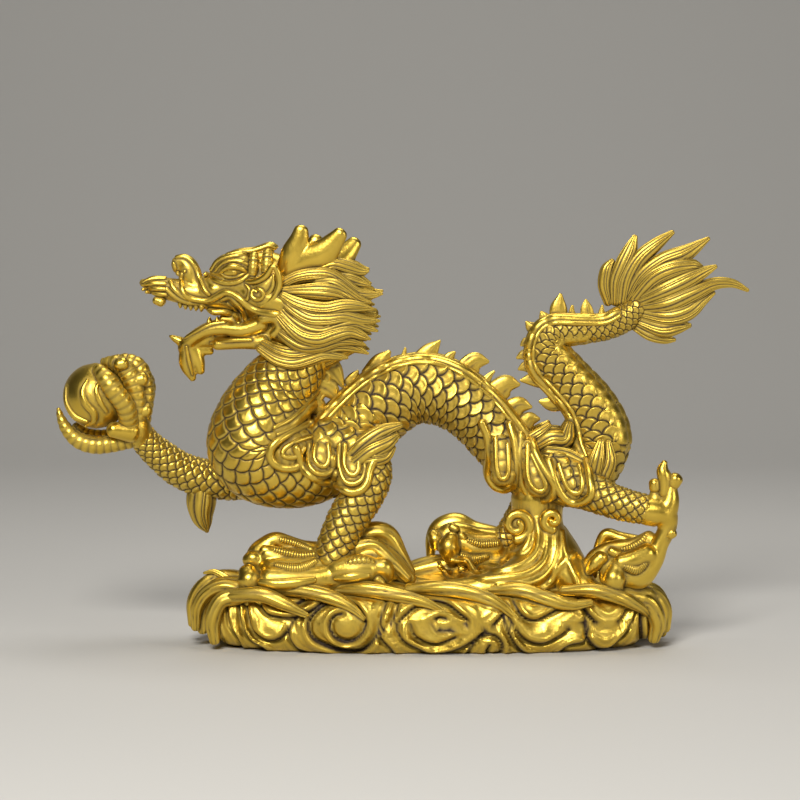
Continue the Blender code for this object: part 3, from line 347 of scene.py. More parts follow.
body = {
    "spine": [
        (-35, 0, 98, 7.6), (-38.2, 0, 89.5, 8.2), (-41.4, -0.5, 83, 9.4), (-45.6, -0.5, 77, 11.6),
        (-50, -1, 68, 14.2), (-51.7, -1, 59.8, 15.3), (-47.5, -1, 55.3, 13.9), (-38, -0.5, 54.4, 12.8),
        (-29.5, 0, 58, 11.7), (-22.5, 0.5, 64, 10.9), (-15.5, 1, 71, 10.3), (-5.5, 1.5, 76.5, 9.9),
        (5, 1.5, 75.2, 9.6), (13.6, 1, 69.2, 8.8), (21, 0, 61, 8.4), (27.5, 0, 54, 8.5), (36, 0, 50.5, 8.7),
        (45, 0, 51.6, 8.4), (50.3, 0.5, 57, 8.1), (51, 1, 63.6, 8.0), (47.7, 1.5, 71.6, 7.1),
        (41, 2, 80, 6.3), (35.7, 2, 86.5, 5.8), (35, 2, 90.8, 5.2), (38, 2, 94, 4.8), (45, 2, 94.6, 4.3),
        (52, 2, 95.2, 3.8), (57.5, 2, 97.6, 3.9), (62, 2, 101.2, 3.3),
    ],
    # scales: how many round it, their length for their width, their relief in millimetres, and their paint,
    # which is brown wash with painted shade in the grooves and painted shadow towards each scale's root
    "neck": {"upTo": 0.345, "around": 13, "stretch": 0.84, "round": 0.15, "full": 11, "tilt": 0.22,
             "rim": 0.0, "dome": 0.2, "groove": 0.3, "line": 1.0, "shade": 0.0},
    "arch": {"from": 0.27, "upTo": 0.63, "around": 9, "stretch": 0.84, "round": 0.2, "full": 9, "tilt": 0.6,
             "rim": 0.55, "dome": 0.1, "groove": 0.2, "line": 0.8, "shade": 0.55,
             "knots": (0, 0.06, 0.19, 0.42, 0.65, 0.82, 0.91, 0.96)},
    "tail": {"from": 0.6, "around": 8, "stretch": 0.88, "round": 0.2, "full": 7, "tilt": 0.5,
             "rim": 0.42, "dome": 0.1, "groove": 0.22, "line": 0.85, "shade": 0.45,
             "knots": (0, 0.06, 0.19, 0.42, 0.65, 0.82, 0.91, 0.96)},
    # columns of plates along the belly of the tail: part of the spine, turns, width, length and depth
    "plates": {"from": 0.66, "upTo": 0.9, "turns": (-42, 0, 42), "width": 0.5, "length": 3.9, "depth": 0.5},
}


def carveBody():
    row = smoothRow(body["spine"], 6)
    count = len(row)
    for part in ("neck", "arch", "tail"):
        skin = body[part]
        stretch = row[int(skin.get("from", 0) * count):int(skin.get("upTo", 1) * count) + 1]
        pieces.setdefault("dragon_" + part, []).append(scaleSkin(stretch, skin))
    plates = body["plates"]
    stretch = row[int(plates["from"] * count):int(plates["upTo"] * count)]
    ahead, side, across = directions(stretch[:, :3])
    for turn in np.radians(plates["turns"]):
        outward = -across * math.cos(turn) - side * math.sin(turn)
        width = stretch[:, 3:] * plates["width"]
        column = np.concatenate([stretch[:, :3] + outward * (stretch[:, 3:] - width * 0.7), width], 1)
        relief = ribs(plates["length"], plates["depth"], sharp=0.22)
        addTube("dragon_tail", column, step=0.45, around=20, relief=relief)
    print("body carved")


crest = {
    # the double band that runs down the back, as the front shows it
    "bands": [
        [(-31.4, 86), (-31.4, 79), (-35, 73), (-41, 67), (-46.5, 64)],
        [(-37, 60), (-35, 63.6), (-33, 67), (-28, 72.6), (-20, 79.6), (-10, 84.6), (0, 85.6), (10, 82),
         (20, 73.6), (27, 64.6), (30.6, 59)],
        [(45.6, 56), (44, 60), (43, 65), (41, 70), (36, 76), (31.4, 81), (29.6, 86), (30.2, 91.6),
         (32.6, 95.6), (37, 97.6), (45, 97.4), (52, 97.6), (56, 99.6)],
    ],
    "bandWidth": 2.3,
    # edges and swelling of the band: how far they stand out, and their radii
    "edgeLift": 0.1,
    "edgeRadius": 0.72,
    "middleLift": -0.85,
    "middleRadius": 1.55,
    "farShift": 2,
    "fins": [
        [(-34, 0, 83.4, 2.2), (-29.8, 0, 82.6, 2.2), (-26.2, 0, 77.2, 0.5)],
        [(-34, 0, 78.4, 2.2), (-30.2, 0, 76.4, 1.9), (-27.6, 0, 72.6, 0.5)],
        [(-37.5, 0, 73, 2.2), (-34, 0, 71.2, 1.9), (-31.6, 0, 68.2, 0.5)],
        [(-24.5, 0.5, 78.2, 1.3), (-23, 0.5, 80.4, 1.0), (-21.9, 0.5, 82.1, 0.4)],
        [(-17.5, 1, 80.4, 2.4), (-14.9, 1, 84.8, 1.9), (-12.4, 1, 87.9, 0.6)],
        [(-8.4, 1.2, 84.2, 1.3), (-8.1, 1.2, 87, 0.9), (-7.7, 1.2, 88.9, 0.4)],
        [(-2.6, 1.5, 84.3, 2.6), (-0.2, 1.5, 88, 1.8), (2.7, 1.5, 91.1, 0.4)],
        [(4.5, 1.5, 84.3, 1.4), (5.8, 1.5, 86.4, 1.0), (7.2, 1.5, 87.7, 0.4)],
        [(9.6, 1.3, 81.4, 2.4), (13.4, 1.3, 84.8, 2.0), (17.2, 1.3, 84.8, 0.6)],
        [(16, 1, 78.4, 1.3), (17.7, 1, 80.7, 0.9), (19, 1, 81.9, 0.4)],
        [(19, 1, 75, 2.5), (22.8, 1, 78, 2.0), (26.5, 1, 77.9, 0.6)],
        [(23.4, 0.5, 69.6, 2.4), (26.8, 0.5, 71.6, 1.9), (30.2, 0.5, 71.2, 0.5)],
        [(27, 0.5, 64.8, 2.2), (29.8, 0.5, 67.4, 1.7), (32.6, 0.5, 67.6, 0.5)],
        [(41, 1.5, 73, 1.8), (36.2, 1.5, 72.2, 1.6), (32.6, 1.5, 72.8, 0.5)],
        [(37.4, 1.8, 79, 1.8), (31.6, 1.8, 79.5, 1.7), (27, 1.8, 79.1, 0.5)],
        [(33, 2, 83, 1.6), (28.6, 2, 83.3, 1.2), (26.3, 2, 82.4, 0.4)],
        [(31, 2, 86.6, 1.6), (27.8, 2, 86.7, 1.1), (25.8, 2, 85.8, 0.4)],
        [(31, 2, 90.2, 1.6), (28.4, 2, 90.4, 1.1), (27, 2, 89.6, 0.4)],
        [(32.4, 2, 93.8, 1.6), (29.9, 2, 95.3, 1.1), (28.6, 2, 96.8, 0.4)],
        [(34.8, 2, 96.8, 1.4), (33.7, 2, 98.5, 1.0), (33, 2, 99.8, 0.4)],
        [(38.2, 2, 97.4, 1.8), (38.3, 2, 101.4, 1.6), (38.9, 2, 105, 0.5)],
        [(42.4, 2, 97.4, 1.2), (42.2, 2, 100, 0.9), (42.4, 2, 101.6, 0.4)],
        [(47, 2, 97.4, 1.5), (46.6, 2, 100.9, 1.2), (46.4, 2, 103.4, 0.4)],
        [(51.4, 2, 98, 1.2), (51.2, 2, 100, 0.9), (51.4, 2, 101.6, 0.4)],
    ],
    "finThickness": 0.3,
    "finWidth": 1.55,
}


def onFarSide(rows):
    return [(x, -y + crest["farShift"], z, r) for x, y, z, r in rows]


def carveCrest():
    tree = treeOf("dragon_neck", "dragon_arch", "dragon_tail")
    for band in crest["bands"]:
        row = smoothRow([(x, z, 0, 1) for x, z in band], 3)
        ahead = np.gradient(row[:, :2], axis=0)
        ahead /= np.linalg.norm(ahead, axis=1)[:, None]
        for offset in (-0.5, 0.5):
            x = row[:, 0] - ahead[:, 1] * offset * crest["bandWidth"]
            z = row[:, 1] + ahead[:, 0] * offset * crest["bandWidth"]
            near = [(*front(tree, px, pz, crest["edgeLift"]), crest["edgeRadius"]) for px, pz in zip(x, z)]
            addTube("dorsal_crest", near, step=0.9, around=10)
            addTube("dorsal_crest", onFarSide(near), step=1.2, around=8)
        middle = [(*front(tree, x, z, crest["middleLift"]), crest["middleRadius"]) for x, z in row[:, :2]]
        addTube("dorsal_crest", middle, step=1.0, around=14)
        addTube("dorsal_crest", onFarSide(middle), step=1.2, around=12)
    for fin in crest["fins"]:
        wide = [(x, y, z, r * crest["finWidth"] if r > 0.9 else r) for x, y, z, r in fin]
        addTube("dorsal_crest", wide, step=0.7, around=22, flat=crest["finThickness"],
                relief=flow(7, 0.3, fin[0][0]), bulge=0.5)
    print("crest carved")


legs = {
    "nearForeleg": [
        (-31, -5, 60, 9.0), (-22, -8.5, 59, 7.0), (-17.2, -11, 55, 5.0), (-17.4, -12.5, 50, 5.0),
        (-20.6, -12.5, 45.4, 5.8), (-24.2, -12.5, 40, 5.8), (-27.2, -13, 34, 5.5), (-29, -13, 27, 6.0),
    ],
    "farArm": [
        (-50, 5, 53, 8.5), (-59, 9, 49, 6.6), (-66, 9, 48.6, 5.6), (-71, 8.6, 49.4, 5.4),
        (-76, 8, 51.6, 5.1), (-81, 6.8, 55.4, 4.6), (-85, 5.4, 59.2, 4.1), (-87.6, 4.4, 62.6, 3.9),
    ],
    "nearHindLeg": [
        (37, -5, 51, 8.2), (45.5, -9, 47.8, 6.2), (52, -12, 45.0, 4.9), (57, -13.5, 43.4, 4.6),
        (63.4, -14, 42.0, 4.2),
    ],
    "farHindLeg": [
        (37, 5, 50, 8.0), (32, 9, 43, 6.2), (28, 11.5, 37, 4.8), (24, 12.5, 31, 4.2), (20, 12.5, 26, 4.4),
        (18, 12.5, 21, 4.2),
    ],
    # scales of the legs; line and shade paint brown wash with painted shade in the grooves and painted
    # shadow at each scale's root
    "skin": {"around": 8, "stretch": 0.92, "round": 0.17, "full": 5, "tilt": 0.4, "rim": 0.12, "dome": 0.16,
             "groove": 0.24, "line": 1.0, "shade": 0.15, "knots": (0, 0.08, 0.27, 0.6, 0.86, 0.95)},
}


def carveLegs():
    for leg in ("nearForeleg", "farArm", "nearHindLeg", "farHindLeg"):
        pieces.setdefault("legs", []).append(scaleSkin(smoothRow(legs[leg], 4), legs["skin"]))
    print("legs carved")


feet = {
    "plumpness": 1.16,
    "stripLift": -0.45,
    "soleLift": -0.5,
    "ribDepth": 0.34,
    # toes, soles and claws of each foot, run together like wax
    "fore": [
        [(-31, -9, 28, 3.2), (-38, -8, 29.4, 2.3), (-43, -7.5, 31, 2.2), (-46.4, -7.5, 32.0, 2.2),
         (-49.6, -7.5, 30.2, 2.5), (-52.5, -7.5, 27.6, 2.4), (-54.6, -7.5, 23, 1.2)],
        [(-31, -12, 27.0, 3.5), (-38, -12.5, 26.6, 3.0), (-44.5, -12.5, 27.4, 2.8),
         (-48.8, -12.5, 28.2, 2.6)],
        [(-54.2, -12.8, 26.4, 2.0), (-53, -12.8, 27.2, 2.3), (-51.8, -12.6, 26.4, 2.2)],
        [(-27, -12, 24, 5.0), (-34, -12.6, 23.2, 5.2), (-42, -13, 23, 5.0), (-48, -13.2, 22.6, 4.6)],
        [(-28, -15.4, 22.2, 4.2), (-34, -17.0, 21.4, 3.8), (-42, -17.8, 21.2, 3.9),
         (-47.8, -17.8, 21.4, 3.7)],
        [(-27.6, -16, 23.6, 4.2), (-22.6, -17, 24.4, 4.2), (-18.6, -17, 24.6, 3.6)],
        [(-16, -17.2, 25.4, 2.4), (-13.8, -17.4, 24.8, 2.5), (-13, -17, 22, 1.7)],
        [(-15, -13.4, 27, 2.2), (-12, -13.4, 25.4, 2.2), (-11.4, -13, 22, 1.6)],
    ],
    "hind": [
        [(64, -14, 41.6, 3.8), (68.6, -14, 40.6, 3.8), (70, -14, 36.8, 2.5), (67.8, -14, 31.6, 2.3),
         (66, -14, 27, 2.7), (62, -14, 22.8, 3.8), (58.4, -14, 22.6, 3.8)],
        [(65, -12, 33, 2.2), (60.4, -11.5, 31.0, 2.0), (55.4, -11.5, 30.4, 2.0), (52.2, -11.5, 29.2, 2.3),
         (49, -11.5, 26.8, 2.6), (46.6, -11.5, 24.0, 1.8), (45.6, -11.5, 21, 0.9)],
        [(64, -15.5, 29, 2.8), (59.4, -17, 27.2, 2.6), (56, -17.5, 26.4, 2.4)],
        [(64, -12, 27, 3.6), (58, -12.6, 25.4, 3.8), (52.6, -12, 24.4, 3.2)],
        [(62, -13, 23.4, 4.2), (56.4, -14, 22.8, 4.0), (53, -13, 22, 3.4)],
        [(62, -8, 31, 2.2), (56.4, -6.5, 32.4, 1.8), (52.6, -6, 33.6, 1.6), (50.8, -6, 31, 1.5),
         (49.4, -6, 26.0, 1.3), (48.6, -6, 21.0, 1.1)],
        [(68.8, -14, 40.8, 3.8), (70.6, -14.5, 44.4, 2.6), (71, -14.5, 48.4, 1.7)],
        [(66.6, -14, 43.6, 2.6), (66.4, -14, 47, 1.5)],
    ],
    "far": [
        [(19, 12, 29.4, 3.0), (14, 11.5, 30.6, 2.6), (9.4, 11, 32.0, 2.6), (5.6, 11, 31.6, 2.8),
         (2.8, 11, 28.6, 2.6)],
        [(19, 8.5, 27, 3.4), (13.6, 7.4, 27.4, 3.2), (9.6, 7, 29.4, 2.4)],
        [(19, 15.5, 30, 3.0), (13, 16, 32, 2.6), (8, 16.5, 34.4, 2.6), (3, 16.5, 33.0, 2.4),
         (0.6, 16.5, 29.6, 1.8), (0, 16.5, 24.0, 1.2)],
        [(20, 10, 23, 5.0), (14, 9, 24.4, 4.4), (10.4, 8, 25, 3.4)],
    ],
    # claws and knuckles, each a bulb of its own
    "bulbs": [
        [(-54.6, -16.6, 23.8, 2.3), (-54.0, -17.2, 21.4, 3.2), (-54.6, -16.8, 18.4, 2.2)],
        [(-49.8, -13, 29.6, 1.5), (-48.4, -13, 29.2, 1.7), (-47.2, -13, 28.6, 1.2)],
        [(-16, -18.6, 21.8, 1.2), (-14.6, -18.8, 20.4, 1.0), (-14.2, -18.6, 19, 0.6)],
        [(0.6, 8.8, 31.6, 1.5), (1.4, 8.4, 30.2, 2.0), (1.4, 8.2, 28, 1.3)],
        [(6.4, 5.6, 31, 2.0), (5.6, 5.2, 28.2, 3.0), (6.2, 5.4, 24.8, 2.0)],
        [(6.4, 7, 34.2, 1.1), (7.6, 6.8, 33.4, 1.2)],
        [(9.2, 5.8, 31.8, 1.1), (10.2, 5.6, 30.8, 1.1)],
        [(54.8, -18, 24.8, 2.0), (54.0, -18.4, 22, 3.0), (54.2, -18, 18.8, 2.2)],
        [(53.4, -14, 29.6, 1.2), (55.2, -14, 28.6, 1.5)],
        [(50.6, -13.8, 27.6, 2.0), (48.4, -13.8, 25.4, 1.9), (46.4, -13.6, 22.8, 0.9)],
        [(71.4, -15.6, 35.2, 1.4), (70.6, -15.6, 34.6, 1.3)],
        [(72.4, -14.8, 51.2, 1.9), (71.6, -14.8, 49.8, 1.8)],
        [(66.1, -14.8, 50, 1.5), (66.2, -14.8, 48.4, 1.5)],
        [(69, -14.6, 56, 0.8), (68.5, -14.6, 53.8, 1.6), (69.2, -14.6, 51, 1.9), (69.2, -14.4, 47, 1.9)],
        [(69.6, -13, 49, 1.0), (69.2, -13.4, 45.6, 1.4)],
    ],
    # ribbed strips and fur pads on the feet, as the front shows them: rib length, then x, z, radius
    "strips": [
        (0.8, [(-44.8, 31.4, 1.2), (-40.4, 30.2, 1.3), (-36, 28.4, 1.1)]),
        (0.8, [(-46.6, 28.2, 1.2), (-43.2, 27.4, 1.5), (-39.2, 26.6, 1.5), (-35.2, 27, 1.2)]),
        (0.62, [(-46.4, 23.6, 1.2), (-42.4, 22.8, 1.8), (-38.4, 22.9, 1.9), (-34.8, 24.8, 1.3)]),
        (1.4, [(-25, 24.4, 0.9), (-22.6, 25, 1.4), (-19.6, 25.2, 1.3), (-17.4, 24.6, 0.8)]),
        (0.7, [(11.4, 31, 1.1), (15, 30, 1.6), (19.6, 30.2, 1.4)]),
        (0.6, [(9.4, 26.6, 1.2), (12.8, 25.6, 1.8), (16.8, 26.4, 1.3)]),
        (0.8, [(57.6, 28.6, 1.1), (60.6, 29.4, 1.4), (63.2, 31, 1.3), (64.8, 33, 1.0)]),
        (0.62, [(58.4, 23.4, 1.2), (61.4, 22.6, 1.7), (64, 24, 1.2)]),
    ],
    "soles": [
        [(-51, 18.8, 1.3), (-46, 18.2, 1.7), (-40, 18.6, 1.7), (-35, 19.4, 1.1)],
        [(-28.6, 20, 1.1), (-24, 20.4, 1.6), (-19, 20.8, 1.1)],
        [(9, 22.6, 1.1), (13, 22, 1.5), (18, 22.4, 1.1)],
    ],
    "tufts": [
        [(-25, -10.4, 25, 4.4), (-17.6, -11, 27.6, 4.6), (-12, -11, 25, 4.0), (-6.6, -11, 20.6, 2.4)],
        [(-24, -8, 31, 3.5), (-17.8, -8, 34.4, 3.2), (-13, -8, 33.4, 3.2), (-9.6, -8, 28, 2.6),
         (-6.2, -8, 22.5, 1.7)],
        [(-23, -12, 30, 3.2), (-17, -13, 31, 2.4), (-12, -14, 26.5, 2.2), (-7, -14, 21.5, 1.4)],
    ],
    "elbowTuft": [(-69.4, 9, 45.6, 4.4), (-69.6, 9, 41.4, 4.6), (-69.4, 9, 37.4, 3.6),
                  (-68.6, 9, 34.6, 2.4), (-67.9, 9, 32.6, 0.7)],
}


def carveFeet():
    for foot in ("fore", "hind", "far"):
        forms = [tube(swollen(form, feet["plumpness"]), step=0.6, around=24) for form in feet[foot]]
        pieces.setdefault("feet", []).append(fused(forms, grain=0.38, softness=5, most=13000))
    for bulb in feet["bulbs"]:
        addTube("feet", swollen(bulb, feet["plumpness"]), step=0.6, around=18)
    tree = treeOf("feet")
    for length, strip in feet["strips"]:
        addTube("feet", laidOn(tree, strip, feet["stripLift"]), step=length / 5, around=14,
                relief=ribs(length, feet["ribDepth"]))
    for sole in feet["soles"]:
        addTube("feet", laidOn(tree, sole, feet["soleLift"]), step=0.8, around=18)
    for tuft in feet["tufts"]:
        addTube("feet", tuft, step=0.8, around=28, relief=flow(7, 0.5, tuft[0][0]))
    addTube("feet", feet["elbowTuft"], step=0.9, around=48, relief=strands(12, 0.45, 2))
    print("feet carved")


flaps = {
    "lobes": [
        [(-36, -10, 63, 3.0), (-40.5, -13.2, 60.4, 3.6), (-43.2, -13.8, 57.6, 3.9)],
        [(-30, -11.5, 63, 3.2), (-32.4, -14.4, 57.6, 3.9), (-33.3, -15, 54.4, 4.2)],
        [(-24.5, -13, 58, 3.4), (-23.8, -15.2, 54, 4.2), (-23.4, -15.8, 50.8, 4.4)],
        [(20, -8.4, 62, 2.6), (21.2, -9.8, 55.6, 3.4), (21.6, -10, 51.6, 3.7)],
        [(28.5, -9, 60, 2.6), (31, -10.8, 53, 3.8), (32.4, -11.4, 48.8, 4.1)],
        [(38.5, -9.4, 55, 2.6), (41.4, -11.4, 50, 3.6), (42.6, -12, 47.6, 3.9)],
    ],
    "lobeThickness": 0.55,
    "lobeSwell": 1.06,
    # rims of the lobes, as the front shows them: x, z
    "rims": [
        [(-36, 66.4), (-37.6, 65.6), (-42, 63.4), (-46, 61), (-48.2, 58.4), (-48, 55.6), (-46, 53.6),
         (-43, 52.8), (-40, 53.4), (-38.6, 55.4)],
        [(-40.4, 59), (-39.6, 56.6), (-38, 52.6), (-35.5, 50.1), (-32, 48.8), (-29.5, 49.4), (-28.4, 51.4)],
        [(-29.6, 56), (-29.4, 53), (-28.6, 49), (-26.4, 46.6), (-23.5, 45.6), (-20.6, 46.6), (-19, 49),
         (-18.4, 52), (-17.2, 55), (-15, 57), (-13, 56.4)],
        [(15.2, 66.6), (17, 62), (17.4, 56), (17, 51), (19, 47.6), (22, 46.6), (25, 48.2), (25.6, 53),
         (25.2, 60), (23.6, 66)],
        [(27, 63), (26.6, 56), (27, 50), (29, 45.2), (33, 43.2), (36.4, 44.6), (37, 48), (34.4, 52),
         (31.6, 57), (30, 62)],
        [(35.4, 55), (38, 47.2), (41, 43.2), (45, 42.6), (48, 45), (47.6, 50), (46.6, 55)],
    ],
    "innerRims": [
        [(-36, 62.4), (-41, 60.6), (-44, 58.6), (-44.5, 56.8), (-42, 56), (-39.6, 56.8), (-38, 59)],
        [(-36.4, 60), (-36.7, 54.4), (-34.5, 51.6), (-31.5, 51.2), (-29.4, 52.8), (-28.8, 56)],
        [(-34.6, 60), (-35, 56), (-33.5, 53.8), (-31.6, 53.6), (-30.6, 56), (-30.8, 60)],
        [(-27.4, 60), (-27.6, 54), (-26, 49.2), (-23.3, 48.2), (-20.8, 49.5), (-19.8, 52.6), (-20.2, 56)],
        [(-25.8, 60), (-26, 54.2), (-24.5, 51.2), (-22.8, 51), (-21.8, 52.7), (-21.7, 56)],
        [(19.4, 62), (19.6, 53.6), (20.6, 50.2), (22.2, 49.8), (23.2, 52), (23, 60)],
        [(29, 60), (29, 51), (30.8, 47), (33.2, 46), (34.4, 48), (32.4, 52.4), (30.2, 57)],
        [(38.4, 54), (40.4, 48.2), (42.6, 45.6), (44.8, 45.8), (45.4, 49), (44.4, 53.6)],
    ],
    "rimRadius": 1.3,
    "rimLift": 0.35,
    "innerRadius": 0.78,
    "innerLift": 0.2,
    "tuftSwell": 1.15,
    "tufts": [
        [(-25, -12.5, 57, 2.4), (-20, -13.6, 61.4, 2.6), (-14.6, -13.4, 65.0, 2.2),
         (-9.2, -12.4, 67.0, 0.9)],
        [(-23, -14, 55.4, 2.4), (-18, -15, 59.4, 2.6), (-13.4, -14.6, 61.8, 2.2), (-10.2, -13.6, 64, 0.9)],
        [(-21, -14, 56.4, 2.0), (-16.8, -15, 57.2, 2.3), (-13.4, -14.6, 58.0, 1.6),
         (-11.4, -14, 60.4, 0.9)],
        [(32, -4, 60, 2.4), (36, -4.6, 62.2, 2.8), (40, -4.2, 62.2, 2.6), (41.4, -3.4, 66, 1.4)],
        [(30, -5, 62.4, 1.6), (33, -5, 64.2, 1.5), (35.4, -4.8, 66.2, 0.7)],
        [(35, -6, 57.8, 2.2), (40.4, -6, 57.0, 2.4), (45, -7, 55.2, 2.0)],
        [(48.4, -9, 51.8, 2.4), (49.2, -9.6, 56.4, 2.3), (50.4, -9.4, 61.6, 1.0)],
        [(51.4, -8.6, 51.4, 2.2), (53.2, -8.6, 56, 1.9), (52.8, -8.4, 61.4, 0.8)],
    ],
}


def carveFlaps():
    for lobe in flaps["lobes"]:
        addTube("flaps", swollen(lobe, flaps["lobeSwell"]), True, step=0.5, around=22,
                flat=flaps["lobeThickness"], relief=ribs(3.1, 0.4))
    tree = treeOf("dragon_neck", "dragon_arch", "legs", "flaps")
    for rims, kind in (("rims", "rim"), ("innerRims", "inner")):
        for rim in flaps[rims]:
            drawn = [(x, z, flaps[kind + "Radius"]) for x, z in rim]
            addTube("flaps", laidOn(tree, drawn, flaps[kind + "Lift"]), True, step=0.9, around=12)
    for index, tuft in enumerate(flaps["tufts"]):
        addTube("flaps", swollen(tuft, flaps["tuftSwell"]), True, step=0.9, around=48,
                relief=strands(12, 0.4, index))
    print("flaps carved")


